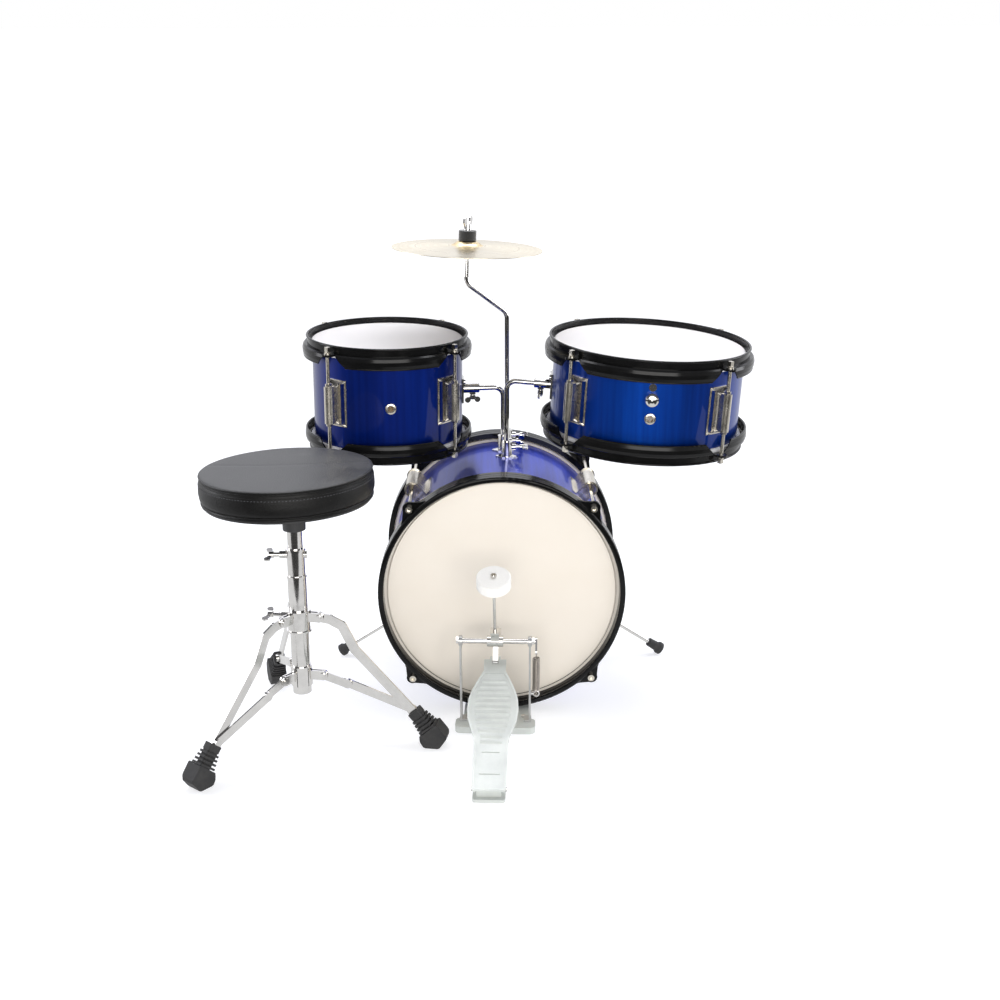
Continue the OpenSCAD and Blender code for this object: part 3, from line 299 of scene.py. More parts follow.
def blue_lacquer(name, stretch, deep, bright, metallic, coat):
    """Metallic lacquer over fine grain that runs along the shell, under a clear coat."""
    p = Paint(name, bright, metallic=metallic, roughness=0.34, coat=coat, coat_roughness=0.02)
    p.set(Specular_IOR_Level=0.08)
    bands = p.noise(9.0, 2.0, stretch)
    streaks = p.noise(150.0, 4.0, stretch)
    flakes = p.cells(2600.0)
    base = p.ramp(bands, (0.25, deep), (0.75, bright))
    grain = p.ramp(streaks, (0.3, (0.62, 0.62, 0.62)), (0.7, (1.0, 1.0, 1.0)))
    color = p.blend(0.75, base, grain, "MULTIPLY")
    sparkle = p.ramp(flakes, (0.0, (1.0, 1.0, 1.0)), (0.5, (0.78, 0.8, 0.86)))
    p.color(p.blend(0.6, color, sparkle, "MULTIPLY"))
    p.roughness(p.range(flakes, 0.28, 0.42, 0.0, 0.8))
    p.bump(p.noise(60.0, 2.0), 0.06, 0.0004)
    return p


def ply_wood(name, stretch):
    p = Paint(name, (0.62, 0.42, 0.24), roughness=0.6)
    rings = p.noise(55.0, 5.0, stretch, 0.6)
    dark, middle, pale = (0.66, 0.50, 0.33), (0.78, 0.64, 0.45), (0.84, 0.72, 0.54)
    p.color(p.ramp(rings, (0.25, dark), (0.55, middle), (0.8, pale)))
    p.bump(p.noise(400.0, 3.0, stretch), 0.25, 0.0003)
    return p


def skin(name, light, dark, centre, share):
    """A coated film head: fine grain, faint clouds, and a little light through it."""
    p = Paint(name, light, roughness=0.5)
    cloud = p.noise(14.0, 3.0)
    grain = p.noise(1800.0, 2.0)
    p.color(p.blend(p.range(cloud, 0.0, 0.5), light, dark))
    p.roughness(p.range(grain, 0.42, 0.6))
    p.bump(grain, 0.12, 0.0001)
    p.bump(cloud, 0.05, 0.001)
    p.translucent(share, centre)
    return p


def gloss_black(name, level, roughness):
    dark = (level, level, level)
    p = Paint(name, dark, roughness=roughness)
    flow = p.noise(30.0, 3.0)
    p.color(p.ramp(flow, (0.35, dark), (0.75, (level * 1.8, level * 1.8, level * 1.9))))
    p.roughness(p.range(p.noise(90.0, 3.0), roughness * 0.8, roughness * 1.3))
    p.bump(flow, 0.05, 0.0004)
    p.set(Specular_IOR_Level=0.22)
    return p


def chrome(name, tint=(0.76, 0.745, 0.72), low=0.05, high=0.16):
    """Thin bright plating, with faint polishing marks and cloudy spots."""
    p = Paint(name, tint, metallic=1.0, roughness=low)
    cloud = p.noise(45.0, 4.0, rough=0.6)
    marks = p.noise(900.0, 2.0, (1, 1, 0.05))
    dull = tuple(c * 0.86 for c in tint)
    p.color(p.blend(p.range(cloud, 0.0, 1.0), tint, dull))
    p.roughness(p.range(cloud, low, high))
    p.bump(marks, 0.03, 0.0001)
    p.bump(cloud, 0.04, 0.0006)
    return p


def enamel(name, light, shade):
    p = Paint(name, light, roughness=0.34, coat=0.35, coat_roughness=0.18)
    peel = p.noise(420.0, 2.0)
    cloud = p.noise(26.0, 5.0, rough=0.65)
    p.color(p.ramp(cloud, (0.3, shade), (0.6, light)))
    p.roughness(p.range(cloud, 0.42, 0.28))
    p.bump(peel, 0.12, 0.0003)
    return p


def satin_metal(name, tint):
    p = Paint(name, tint, metallic=0.85, roughness=0.34)
    brush = p.noise(700.0, 3.0, (1, 1, 0.04))
    cloud = p.noise(40.0, 4.0)
    dull = tuple(c * 0.7 for c in tint)
    p.color(p.blend(p.range(cloud, 0.0, 0.8), tint, dull))
    p.roughness(p.range(brush, 0.26, 0.42))
    p.bump(brush, 0.1, 0.0002)
    return p


def felt(name, light, dark):
    p = Paint(name, light, roughness=0.95)
    fibre = p.noise(1500.0, 6.0, rough=0.75)
    tuft = p.noise(260.0, 4.0, rough=0.6)
    p.color(p.ramp(fibre, (0.3, dark), (0.7, light)))
    p.bump(tuft, 0.5, 0.0006)
    p.bump(fibre, 0.6, 0.0003)
    p.set(Sheen_Weight=0.5, Sheen_Roughness=0.5)
    return p


def lathed_brass():
    """Pale sheet brass with turned rings, hammer marks and a deeper gold bell."""
    p = Paint("lathed_brass", (0.80, 0.71, 0.52), metallic=1.0, roughness=0.3)
    from_elbow = p.vector("SUBTRACT", p.coords(), CYMBAL_ELBOW)
    radius = p.vector("LENGTH", p.vector("CROSS_PRODUCT", from_elbow, CYMBAL_AXIS))
    grooves = p.math("SINE", p.math("MULTIPLY", radius, 5200.0))
    drift = p.noise(1.0, 3.0, (60, 60, 60))
    row = p.tree.nodes.new("ShaderNodeCombineXYZ")
    p.link(radius, row.inputs["X"])
    rings = p.tree.nodes.new("ShaderNodeTexNoise")
    rings.inputs["Scale"].default_value = 420.0
    rings.inputs["Detail"].default_value = 5.0
    p.link(row.outputs["Vector"], rings.inputs["Vector"])
    dark, middle, pale = (0.58, 0.52, 0.40), (0.72, 0.67, 0.55), (0.80, 0.76, 0.66)
    tone = p.ramp(rings.outputs["Fac"], (0.3, dark), (0.55, middle), (0.75, pale))
    bow = p.blend(p.range(drift, 0.0, 0.5), tone, (0.64, 0.57, 0.43))
    bell = p.range(radius, 1.0, 0.0, 0.0205, 0.0225)
    p.color(p.blend(bell, bow, (0.62, 0.50, 0.30)))
    p.roughness(p.range(rings.outputs["Fac"], 0.24, 0.4))
    p.bump(grooves, 0.12, 0.0001)
    p.bump(p.cells(70.0, feature="SMOOTH_F1"), 0.25, 0.0012)
    p.set(Anisotropic=0.5)
    return p


def leathercloth():
    """Black vinyl with a pressed grain, and a painted sheen that makes the top greyer."""
    p = Paint("grained_vinyl", (0.016, 0.017, 0.019), roughness=0.42)
    pebble = p.cells(620.0, feature="SMOOTH_F1")
    pore = p.noise(1500.0, 3.0)
    scuff = p.noise(18.0, 5.0, rough=0.7)
    facing = p.tree.nodes.new("ShaderNodeNewGeometry")
    split = p.tree.nodes.new("ShaderNodeSeparateXYZ")
    p.link(facing.outputs["Normal"], split.inputs["Vector"])
    # Painted sheen: faces that point up get a greyer colour in place of the back wall's reflection on the
    # seat top
    top_sheen_mask = p.range(split.outputs["Z"], 0.0, 1.0, 0.7, 0.98)
    plain_vinyl = p.ramp(scuff, (0.35, (0.003, 0.0029, 0.0028)), (0.75, (0.007, 0.0068, 0.0066)))
    top_painted_sheen = p.ramp(scuff, (0.35, (0.045, 0.0455, 0.046)), (0.75, (0.085, 0.0855, 0.086)))
    p.color(p.blend(top_sheen_mask, plain_vinyl, top_painted_sheen))
    p.roughness(p.range(scuff, 0.36, 0.52))
    p.bump(pebble, 0.45, 0.0005)
    p.bump(pore, 0.2, 0.0002)
    p.set(Specular_IOR_Level=0.24)
    return p


def ribbed_rubber():
    p = Paint("foot_rubber", (0.022, 0.023, 0.025), roughness=0.62)
    dust = p.noise(60.0, 6.0, rough=0.7)
    p.color(p.ramp(dust, (0.4, (0.010, 0.010, 0.011)), (0.8, (0.045, 0.043, 0.041))))
    p.roughness(p.range(dust, 0.5, 0.75))
    p.bump(p.noise(900.0, 4.0), 0.3, 0.0003)
    return p


def moulded_black():
    p = Paint("moulded_black", (0.02, 0.02, 0.021), roughness=0.5)
    grain = p.noise(1100.0, 3.0)
    p.color(p.ramp(p.noise(30.0, 4.0), (0.35, (0.016, 0.016, 0.017)), (0.75, (0.035, 0.035, 0.036))))
    p.roughness(p.range(grain, 0.42, 0.6))
    p.bump(grain, 0.3, 0.0003)
    return p


def sewing_thread():
    p = Paint("dark_thread", (0.05, 0.05, 0.055), roughness=0.7)
    twist = p.noise(3000.0, 2.0)
    p.color(p.ramp(twist, (0.3, (0.03, 0.03, 0.034)), (0.7, (0.09, 0.09, 0.10))))
    return p


def make_materials():
    """Every finish, by a short name."""
    upright = (1, 1, 0.035)
    lying = (1, 0.035, 1)
    tom_blues = (0.0005, 0.004, 0.070), (0.001, 0.024, 0.26)
    snare_blues = (0.0005, 0.014, 0.15), (0.001, 0.058, 0.40)
    bass_blues = (0.004, 0.018, 0.28), (0.012, 0.075, 0.90)
    return {
        "tom_blue": blue_lacquer("tom_lacquer", upright, *tom_blues, metallic=0.55, coat=0.55),
        "snare_blue": blue_lacquer("snare_lacquer", upright, *snare_blues, metallic=0.55, coat=0.6),
        "bass_blue": blue_lacquer("bass_lacquer", lying, *bass_blues, metallic=0.88, coat=0.3),
        "tom_wood": ply_wood("drum_ply", upright),
        "bass_wood": ply_wood("bass_ply", lying),
        "cream": skin("cream_skin", (0.90, 0.84, 0.75), (0.85, 0.785, 0.685), (0.9, 0.82, 0.7), 0.15),
        "white": skin("white_skin", (0.90, 0.90, 0.91), (0.85, 0.85, 0.87), (0.95, 0.92, 0.88), 0.45),
        "hoop": gloss_black("hoop_lacquer", 0.003, 0.13),
        "rim": gloss_black("rim_coating", 0.0035, 0.16),
        "chrome": chrome("bright_chrome"),
        "nickel": chrome("warm_nickel", (0.72, 0.68, 0.60), 0.17, 0.30),
        "enamel": enamel("white_enamel", (0.60, 0.63, 0.60), (0.52, 0.55, 0.53)),
        "satin": satin_metal("satin_silver", (0.56, 0.56, 0.55)),
        "felt_white": felt("white_felt", (0.84, 0.83, 0.80), (0.70, 0.69, 0.66)),
        "felt_black": felt("black_felt", (0.035, 0.035, 0.036), (0.008, 0.008, 0.008)),
        "brass": lathed_brass(),
        "spring": chrome("spring_wire", (0.46, 0.42, 0.38), 0.22, 0.4),
        "vinyl": leathercloth(),
        "rubber": ribbed_rubber(),
        "plastic": moulded_black(),
        "thread": sewing_thread(),
    }


# Nodes with one finish; a node that isn't named here or painted below is bright chrome
PLAIN = {
    "hoop": ["bass_hoops"],
    "rim": ["tom_rims", "snare_rims"],
    "cream": ["bass_heads"],
    "white": ["tom_heads", "snare_heads"],
    "nickel": ["bass_lugs", "bass_rods", "tom_lugs", "tom_rods", "snare_lugs", "snare_rods"],
    "satin": ["pedal_frame", "pedal_link", "pedal_clamp"],
    "enamel": ["footboard", "pedal_base"],
    "felt_white": ["cymbal_seat", "beater_head"],
    "felt_black": ["cymbal_felt"],
    "brass": ["cymbal"],
    "spring": ["pedal_spring", "snare_wires"],
    "vinyl": ["seat_cushion"],
    "plastic": ["seat_pan"],
}


def paint(obj, *materials):
    obj.data.materials.clear()
    for p in materials:
        obj.data.materials.append(p.mat)


def split_faces(obj, is_second):
    """Gives the second material to each face whose corners all pass the test."""
    verts = obj.data.vertices
    for face in obj.data.polygons:
        corners = [verts[i].co for i in face.vertices]
        face.material_index = 1 if is_second(corners, face.normal) else 0


def facing_in(centre, axis, radius):
    """True for the bore and the end faces of a round shell."""
    def test(corners, normal):
        middle = sum(corners, Vector()) / len(corners) - centre
        out = middle - axis * middle.dot(axis)
        return out.length < radius or normal.dot(out.normalized()) < OUTWARD
    return test


def paint_shells(m):
    """Lacquer outside and bare ply inside; a shell's last number is between its two radii."""
    up = Vector((0, 0, 1))
    along = Vector((0, 1, 0))
    shells = (
        ("tom_shell", "tom_blue", "tom_wood", TOM_CENTRE, up, 0.0985),
        ("snare_shell", "snare_blue", "tom_wood", SNARE_CENTRE, up, 0.1240),
        ("bass_shell", "bass_blue", "bass_wood", Vector((0, 0, BASS_AXIS_Z)), along, 0.1495),
    )
    for node, outside, inside, centre, axis, radius in shells:
        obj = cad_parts[node]
        paint(obj, m[outside], m[inside])
        split_faces(obj, facing_in(centre, axis, radius))


def paint_hoops(m):
    """The head's collar shows in the gap inside each hoop."""
    def in_gap(corners, normal):
        radii = [math.hypot(c.x, c.z - BASS_AXIS_Z) for c in corners]
        return max(radii) < COLLAR_RADIUS and abs(normal.y) > 0.9

    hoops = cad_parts["bass_hoops"]
    paint(hoops, m["hoop"], m["cream"])
    split_faces(hoops, in_gap)


def paint_feet(m):
    """The rubber boots on the stool's legs and on the two spurs."""
    aim = (math.cos(FOOT_TURN), math.sin(FOOT_TURN))
    for side, turn in LEG_TURNS.items():
        spin = Matrix.Rotation(math.radians(-turn), 4, "Z")

        def in_boot(corners, _normal):
            local = [spin @ (c - THRONE_AT) for c in corners]
            reach = min((c.x - FOOT_AT[0]) * aim[0] + (FOOT_AT[1] - c.z) * aim[1] for c in local)
            return reach > BOOT_FROM

        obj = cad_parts[f"throne_leg_{side}"]
        paint(obj, m["chrome"], m["rubber"])
        split_faces(obj, in_boot)
    for side, sign in (("right", 1), ("left", -1)):
        line = Euler((0, SPUR_POLAR, SPUR_PLAN)).to_matrix() @ Vector((0, 0, 1))

        def in_tip(corners, _normal):
            local = [Vector((sign * c.x, c.y, c.z)) - SPUR_AT for c in corners]
            return min(c.dot(line) for c in local) > SPUR_RUBBER_FROM

        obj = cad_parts[f"spur_{side}"]
        paint(obj, m["chrome"], m["rubber"])
        split_faces(obj, in_tip)


def to_pedal(point):
    """A point in the pedal's own frame."""
    return Matrix.Rotation(-PEDAL_TURN, 4, "Z") @ (point - PEDAL_AT)


def paint_pedal(m):
    """Bright pins and the eye bolt on the painted pedal parts."""
    def is_pin(corners, _normal):
        local = [to_pedal(c) for c in corners]
        heel = all(abs(c.x) > HEEL_PIN_X and abs(c.z - HEEL_PIN_Z) < HEEL_PIN_REACH for c in local)
        stud = all(c.z > STUD_Z and c.y > STUD_Y for c in local)
        return heel or stud

    def is_eye(corners, _normal):
        return all(to_pedal(c).x > EYE_BOLT_X and to_pedal(c).z < EYE_BOLT_TOP for c in corners)

    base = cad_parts["pedal_base"]
    paint(base, m["enamel"], m["chrome"])
    split_faces(base, is_pin)
    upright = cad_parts["pedal_frame"]
    paint(upright, m["satin"], m["chrome"])
    split_faces(upright, is_eye)


def paint_nodes(m):
    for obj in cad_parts.values():
        paint(obj, m["chrome"])
    for finish, nodes in PLAIN.items():
        for node in nodes:
            paint(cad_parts[node], m[finish])
    paint_shells(m)
    paint_hoops(m)
    paint_feet(m)
    paint_pedal(m)


# ---------- stool cushion ----------

# Radius and height from the axis below to the axis on top, in millimetres
CUSHION_PROFILE = [
    (0.0, 5.6), (60.0, 5.6), (99.0, 5.6), (103.6, 6.2), (106.2, 8.4), (107.6, 12.0), (108.4, 18.0),
    (108.0, 26.0), (107.0, 33.0), (106.6, 37.6), (106.2, 39.2), (105.0, 40.0), (98.0, 40.4),
    (60.0, 40.6), (0.0, 40.6),
]
RING_STEP = 0.0035
CUSHION_SIDES = 144
CLOTH_FRAMES = 20
CLOTH_PRESSURE = 4.0
CLOTH_STIFFNESS = 18
CUSHION_CAP = 0.005
FIRMNESS = 0.4
SKIRT_Z = 0.008
HELD_EDGE_Z = 0.0365
HELD_EDGE_RADIUS = 0.1035
EDGE_Z = 0.0390
SEAM_Z = 0.0335
SIDE_SEAM = math.radians(199)
SIDE_RADIUS = 0.098
SIDE_Z = 0.02
TOP_Z = 0.0385
TOP_RADIUS = 0.103
# Depth, height and width of each line that is pulled in round the side
PULLED_LINES = ((0.0010, HELD_EDGE_Z, 0.0014), (0.0007, SEAM_Z, 0.0016))
# Depth, place, bend and width of the crease across the top
CREASE = (0.0004, 0.012, 1.2, 0.004)
WAVE_DEPTH = 0.0003
SEAM_POINTS = 180
STITCHES = 162
STITCH_SIZE = (0.0004, 0.00125, 0.00045, 1.0)
OUTSIDE = 0.2


def seat_matrix():
    return Matrix.Translation(SEAT_AT) @ Euler(SEAT_TIP).to_matrix().to_4x4()


def dense_profile():
    """The cushion's outline in metres, with its points no further apart than the ring step."""
    points = [Vector((r * MM, z * MM)) for r, z in CUSHION_PROFILE]
    out = [points[0]]
    for a, b in zip(points, points[1:]):
        parts = max(1, math.ceil((b - a).length / RING_STEP))
        out += [a.lerp(b, i / parts) for i in range(1, parts + 1)]
    return out


def inflate(obj):
    """Swells the cover with cloth pressure, holding its skirt and its top edge."""
    def is_held(co):
        at_edge = co.z > HELD_EDGE_Z and math.hypot(co.x, co.y) > HELD_EDGE_RADIUS
        return co.z < SKIRT_Z or at_edge

    held = obj.vertex_groups.new(name="held")
    held.add([v.index for v in obj.data.vertices if is_held(v.co)], 1.0, "REPLACE")
    start = [v.co.copy() for v in obj.data.vertices]
    cloth = obj.modifiers.new("swell", "CLOTH")
    cloth.settings.quality = 6
    cloth.settings.use_pressure = True
    cloth.settings.uniform_pressure_force = CLOTH_PRESSURE
    cloth.settings.vertex_group_mass = "held"
    cloth.settings.tension_stiffness = CLOTH_STIFFNESS
    cloth.settings.compression_stiffness = CLOTH_STIFFNESS
    cloth.settings.effector_weights.gravity = 0
    scene = bpy.context.scene
    for number in range(1, CLOTH_FRAMES + 1):
        scene.frame_set(number)
    apply_modifiers(obj)
    for vert, before in zip(obj.data.vertices, start):
        step = vert.co - before
        if step.length > CUSHION_CAP:
            step = step.normalized() * CUSHION_CAP
        vert.co = before + step * FIRMNESS
    scene.frame_set(1)


def press_details(obj):
    """Pulled-in lines at the top edge and the seam, and soft creases across the top."""
    depth, place, bend, width = CREASE
    for vert in obj.data.vertices:
        co = vert.co
        radial = Vector((co.x, co.y, 0))
        if SIDE_Z < co.z < TOP_Z and radial.length > SIDE_RADIUS:
            pull = sum(d * math.exp(-((co.z - z) / w) ** 2) for d, z, w in PULLED_LINES)
            vert.co -= radial.normalized() * pull
        elif co.z > TOP_Z and radial.length < TOP_RADIUS:
            crease = math.exp(-((co.y - place - bend * co.x * co.x) / width) ** 2)
            wave = math.sin(37 * co.x + 21 * co.y) * math.cos(29 * co.y - 17 * co.x)
            vert.co.z += WAVE_DEPTH * wave - depth * crease


def on_side(tree, angle, height, out):
    """The cover's point at one angle and height, moved outwards a little."""
    ray = Vector((math.cos(angle), math.sin(angle), 0))
    hit = tree.ray_cast(ray * OUTSIDE + Vector((0, 0, height)), -ray)
    return hit[0] + ray * out


def round_turns(count):
    return [2 * math.pi * i / count for i in range(count)]


def ring_on(tree, height, out):
    """Points round the cushion at one height, lying on its cover."""
    return [on_side(tree, a, height, out) for a in round_turns(SEAM_POINTS)]


def side_line(tree, low=SKIRT_Z, high=SEAM_Z - 0.002, points=10):
    """Points up the cushion's side, where its cover is joined."""
    rise = (high - low) / (points - 1)
    return [on_side(tree, SIDE_SEAM, low + rise * i, -0.0003) for i in range(points)]


def circle_at(radius, height):
    """Points of a level circle about the cushion's axis."""
    turns = round_turns(SEAM_POINTS)
    return [Vector((radius * math.cos(a), radius * math.sin(a), height)) for a in turns]


def seam_stitches(tree, height):
    """Short threads that run along the seam, one every 4 mm."""
    bm = bmesh.new()
    for a in round_turns(STITCHES):
        spot = Matrix.Translation(on_side(tree, a, height, 0.00015)) @ Matrix.Rotation(a, 4, "Z")
        shape = spot @ Matrix.Diagonal(STITCH_SIZE)
        bmesh.ops.create_uvsphere(bm, u_segments=8, v_segments=6, radius=1.0, matrix=shape)
    return mesh_object("seat_stitches", bm)


def build_cushion(m):
    """The padded cover with its welts, side seam and stitches, in place of the plain CAD cushion."""
    cushion = lathe("stool_cushion", dense_profile(), CUSHION_SIDES)
    inflate(cushion)
    soften = cushion.modifiers.new("soften", "SMOOTH")
    soften.iterations = 1
    smooth = cushion.modifiers.new("fine", "SUBSURF")
    smooth.levels = 1
    smooth.render_levels = 1
    apply_modifiers(cushion)
    press_details(cushion)
    shade_smooth(cushion)
    tree = BVHTree.FromObject(cushion, bpy.context.evaluated_depsgraph_get())
    parts = [
        tube("seat_welt_edge", ring_on(tree, EDGE_Z - 0.0006, 0.0001), 0.0010, closed=True),
        tube("seat_welt_upper", ring_on(tree, SEAM_Z + 0.0016, -0.0003), 0.0008, closed=True),
        tube("seat_welt_lower", ring_on(tree, SEAM_Z - 0.0022, -0.0004), 0.0007, closed=True),
        tube("seat_side_seam", side_line(tree), 0.0007),
        tube("seat_welt_base", circle_at(0.1040, 0.0046), 0.0026, closed=True),
        seam_stitches(tree, SEAM_Z - 0.0045),
    ]
    place = seat_matrix()
    for part in [cushion] + parts:
        part.data.transform(place)
        shade_smooth(part)
        paint(part, m["vinyl"])
        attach(part, "seat")
    paint(parts[-1], m["thread"])
    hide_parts("seat_cushion")


# ---------- pedal spring ----------

SPRING_LOW = Vector((0.0539, -0.003, 0.0465))
SPRING_HIGH = Vector((0.0539, -0.0115, 0.1150))
WIRE_RADIUS = 0.0008
COIL_RADIUS = 0.0042
COIL_TURNS = 24
POINTS_PER_TURN = 14
TAPER_POINTS = 10
HOOK_RADIUS = 0.0028
LOW_HOOK_REACH = 0.0030
HIGH_HOOK_REACH = 0.0070
COIL_FROM = 0.009
COIL_SHORT_OF_TOP = 0.010


def hook(centre, along, front, angles, sign):
    """Points of a hook round its centre; the sign says which way its opening faces."""
    points = []
    for a in angles:
        points.append(centre + HOOK_RADIUS * (sign * along * math.cos(a) + front * math.sin(a)))
    return points


def build_spring(m):
    """A close-wound helix with a hook at each end, from the eye bolt to the crank."""
    place = Matrix.Translation(PEDAL_AT) @ Matrix.Rotation(PEDAL_TURN, 4, "Z")
    along = (SPRING_HIGH - SPRING_LOW).normalized()
    side = Vector((1, 0, 0))
    front = along.cross(side)
    coil_to = (SPRING_HIGH - SPRING_LOW).length - COIL_SHORT_OF_TOP
    top = SPRING_LOW + along * coil_to
    low_centre = SPRING_LOW + along * LOW_HOOK_REACH
    high_centre = top + along * HIGH_HOOK_REACH
    points = hook(low_centre, along, front, [math.pi * 1.35 * (1 - i / 6) for i in range(7)], 1)
    steps = COIL_TURNS * POINTS_PER_TURN
    for i in range(steps + 1):
        a = 2 * math.pi * i / POINTS_PER_TURN
        grow = min(1, i / TAPER_POINTS, (steps - i) / TAPER_POINTS)
        radius = COIL_RADIUS * (0.25 + 0.75 * grow)
        reach = COIL_FROM + (coil_to - COIL_FROM) * i / steps
        points.append(SPRING_LOW + along * reach + radius * (front * math.cos(a) + side * math.sin(a)))
    points += hook(high_centre, along, front, [math.pi * 1.5 * i / 7 for i in range(8)], -1)
    spring = tube("pedal_coil", [place @ p for p in points], WIRE_RADIUS)
    paint(spring, m["spring"])
    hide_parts("pedal_spring")
    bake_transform(spring)


# ---------- studio ----------

CAMERA_AT = (-0.010535, -1.751556, 0.888211)
CAMERA_PITCH = math.radians(18.489)
CAMERA_YAW = math.radians(0.280)
CAMERA_ROLL = math.radians(-0.1785)
SENSOR = 36.0
LENS = 51.167
FLOOR_SIZE = 800.0
# The floor glows more from the near radius to the far one, so that it runs into the white wall
FLOOR_GLOW = (0.62, 1.0)
FLOOR_GLOW_RADII = (0.9, 4.5)
SHEET_SIZE = 3.0
SHEET_CENTRE_Y = 0.95
COOL = (0.95, 0.96, 1.0)
WARM = (1.0, 0.98, 0.95)
# Name, place, aim, size, power and colour of each light
SOFTBOXES = (
    ("overhead", (0.05, 0.55, 1.9), (0, 0.1, 0.3), (2.0, 0.9), 34, COOL),
    ("left_box", (-1.5, 0.1, 0.9), (-0.1, 0.05, 0.35), (0.7, 1.3), 13, COOL),
    ("right_box", (1.5, 0.3, 0.9), (0.1, 0.05, 0.35), (0.7, 1.3), 13, COOL),
    ("front_fill", (0.3, -2.7, 0.88), (0, 0, 0.22), (2.4, 1.4), 50, WARM),
)
BLACK = (0.0, 0.0, 0.0)
WHITE = (1.0, 1.0, 1.0)
# Below the horizon, from front to back
GROUND_STOPS = (
    (0.0, (0.05, 0.05, 0.05)), (0.35, (0.09, 0.09, 0.09)), (0.5, (0.5, 0.5, 0.5)), (0.75, (0.9, 0.9, 0.92)),
)
# Above the horizon, from the horizon up: the studio in front, and the wall at the back
FRONT_STOPS = (
    (0.0, WHITE), (0.07, WHITE), (0.15, (0.16, 0.16, 0.17)), (0.6, (0.14, 0.14, 0.15)),
    (1.0, (0.42, 0.43, 0.46)),
)
WALL_STOPS = (
    (0.0, WHITE), (0.07, WHITE), (0.10, (0.87, 0.88, 0.91)), (0.25, (0.90, 0.91, 0.95)),
    (0.34, (1.5, 1.52, 1.65)), (0.55, (1.4, 1.42, 1.55)), (0.68, (0.16, 0.16, 0.17)),
)
BACK_STOPS = ((0.72, BLACK), (0.81, WHITE))
HORIZON_STOPS = ((0.489, BLACK), (0.490, WHITE))


def make_camera():
    """The photograph's camera."""
    data = bpy.data.cameras.new("camera")
    data.sensor_width = SENSOR
    data.lens = LENS
    obj = bpy.data.objects.new("camera", data)
    bpy.context.scene.collection.objects.link(obj)
    obj.location = CAMERA_AT
    level = math.cos(CAMERA_PITCH)
    forward = Vector((math.sin(CAMERA_YAW) * level, math.cos(CAMERA_YAW) * level, -math.sin(CAMERA_PITCH)))
    right = Vector((math.cos(CAMERA_YAW), -math.sin(CAMERA_YAW), 0))
    up = right.cross(forward)
    across = right * math.cos(CAMERA_ROLL) + up * math.sin(CAMERA_ROLL)
    high = up * math.cos(CAMERA_ROLL) - right * math.sin(CAMERA_ROLL)
    turn = Matrix((across, high, -forward)).transposed()
    obj.rotation_mode = "QUATERNION"
    obj.rotation_quaternion = turn.to_quaternion()
    bpy.context.scene.camera = obj


def softbox(name, at, aim, size, power, color):
    data = bpy.data.lights.new(name, "AREA")
    data.shape = "RECTANGLE"
    data.size, data.size_y = size
    data.energy = power
    data.color = color
    obj = bpy.data.objects.new(name, data)
    bpy.context.scene.collection.objects.link(obj)
    obj.location = at
    obj.rotation_euler = (Vector(aim) - Vector(at)).to_track_quat("-Z", "Y").to_euler()


def make_floor():
    """A matt white paper floor, which glossy parts don't reflect."""
    bpy.ops.mesh.primitive_plane_add(size=FLOOR_SIZE, location=(0, 0, -0.0002))
    floor = bpy.context.object
    floor.name = "floor"
    p = Paint("paper_floor", (0.52, 0.53, 0.54), roughness=0.9)
    p.color(p.blend(p.range(p.noise(0.8, 2.0), 0.0, 1.0), (0.51, 0.52, 0.535), (0.53, 0.535, 0.545)))
    glow = p.range(p.vector("LENGTH", p.coords()), *FLOOR_GLOW, *FLOOR_GLOW_RADII)
    p.link(glow, p.shader.inputs["Emission Strength"])
    p.set(Emission_Color=(0.99, 0.99, 1.0, 1.0), Specular_IOR_Level=0.0)
    paint(floor, p)
    floor.visible_glossy = False


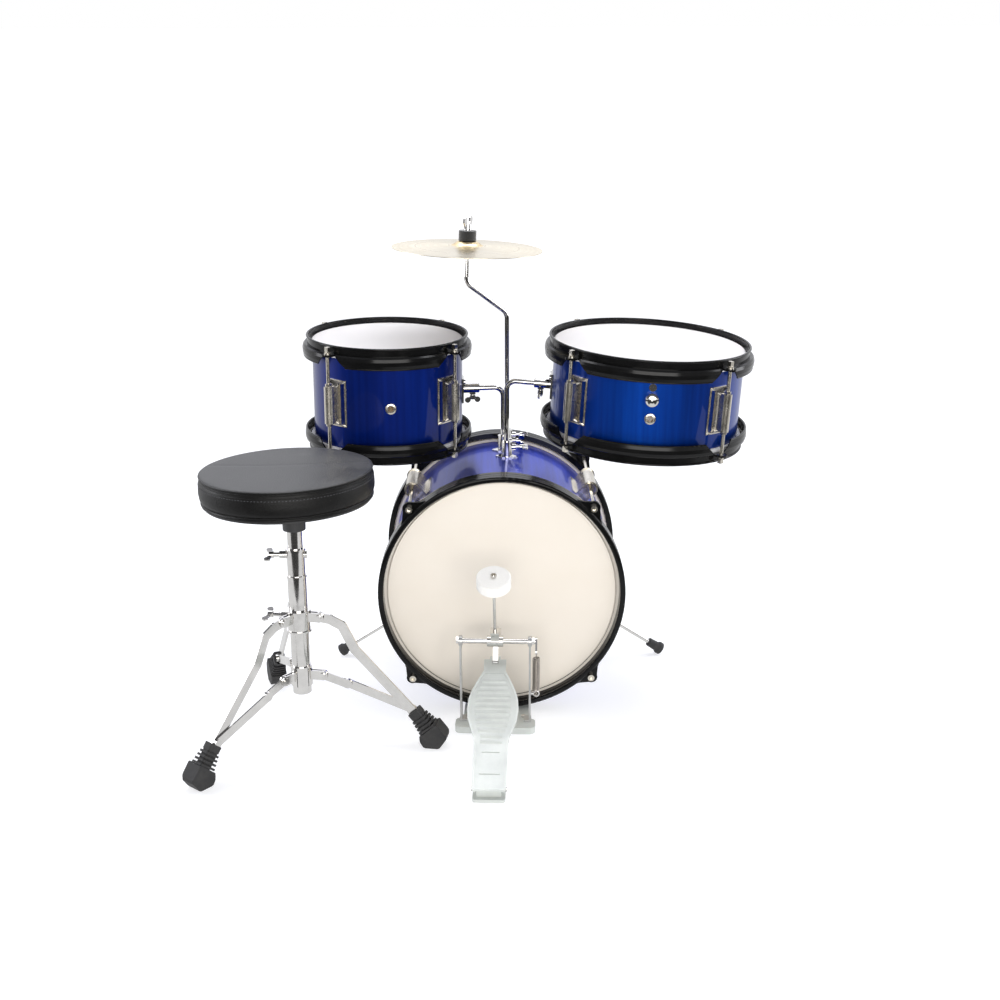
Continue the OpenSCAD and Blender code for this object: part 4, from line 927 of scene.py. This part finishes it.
def make_paper_sheet():
    """What glossy parts reflect in place of the endless floor: a white sheet with a front edge."""
    bpy.ops.mesh.primitive_plane_add(size=1.0, location=(0, SHEET_CENTRE_Y, -0.0006))
    sheet = bpy.context.object
    sheet.name = "paper_sheet"
    sheet.scale = (SHEET_SIZE, SHEET_SIZE, 1.0)
    p = Paint("paper_glow", (0.1, 0.1, 0.1), roughness=0.9)
    p.set(Emission_Color=(0.97, 0.98, 1.0, 1.0), Emission_Strength=0.8, Specular_IOR_Level=0.0)
    p.color(p.blend(p.range(p.noise(0.8, 2.0), 0.0, 1.0), (0.09, 0.09, 0.09), (0.11, 0.11, 0.11)))
    paint(sheet, p)
    sheet.visible_camera = False
    sheet.visible_diffuse = False
    sheet.visible_shadow = False


def halved(tree, value):
    """Brings a direction's part from -1..1 to 0..1."""
    node = tree.nodes.new("ShaderNodeMath")
    node.operation = "MULTIPLY_ADD"
    tree.links.new(value, node.inputs[0])
    node.inputs[1].default_value = 0.5
    node.inputs[2].default_value = 0.5
    return node.outputs["Value"]


def mixed(tree, share, a, b):
    node = tree.nodes.new("ShaderNodeMix")
    node.data_type = "RGBA"
    tree.links.new(share, node.inputs[0])
    tree.links.new(a, node.inputs[6])
    tree.links.new(b, node.inputs[7])
    return node.outputs[2]


def make_world():
    """A white back wall and horizon, and a dark studio in front, overhead and below."""
    world = bpy.data.worlds.new("studio")
    bpy.context.scene.world = world
    world.cycles.sampling_method = "NONE"
    world.use_nodes = True
    tree = world.node_tree
    where = tree.nodes.new("ShaderNodeTexCoord")
    split = tree.nodes.new("ShaderNodeSeparateXYZ")
    tree.links.new(where.outputs["Generated"], split.inputs["Vector"])
    height = split.outputs["Z"]
    depth = halved(tree, split.outputs["Y"])
    below = color_ramp(tree, depth, GROUND_STOPS)
    above = color_ramp(tree, height, FRONT_STOPS)
    wall = color_ramp(tree, height, WALL_STOPS)
    at_back = color_ramp(tree, depth, BACK_STOPS)
    is_above = color_ramp(tree, halved(tree, height), HORIZON_STOPS)
    upper = mixed(tree, at_back, above, wall)
    back = tree.nodes["Background"]
    tree.links.new(mixed(tree, is_above, below, upper), back.inputs["Color"])


def make_studio():
    make_camera()
    make_floor()
    make_paper_sheet()
    make_world()
    for light in SOFTBOXES:
        softbox(*light)
    scene = bpy.context.scene
    scene.view_settings.view_transform = "Standard"
    scene.view_settings.look = "None"


def main():
    make_studio()
    materials = make_materials()
    paint_nodes(materials)
    build_cushion(materials)
    build_spring(materials)


main()
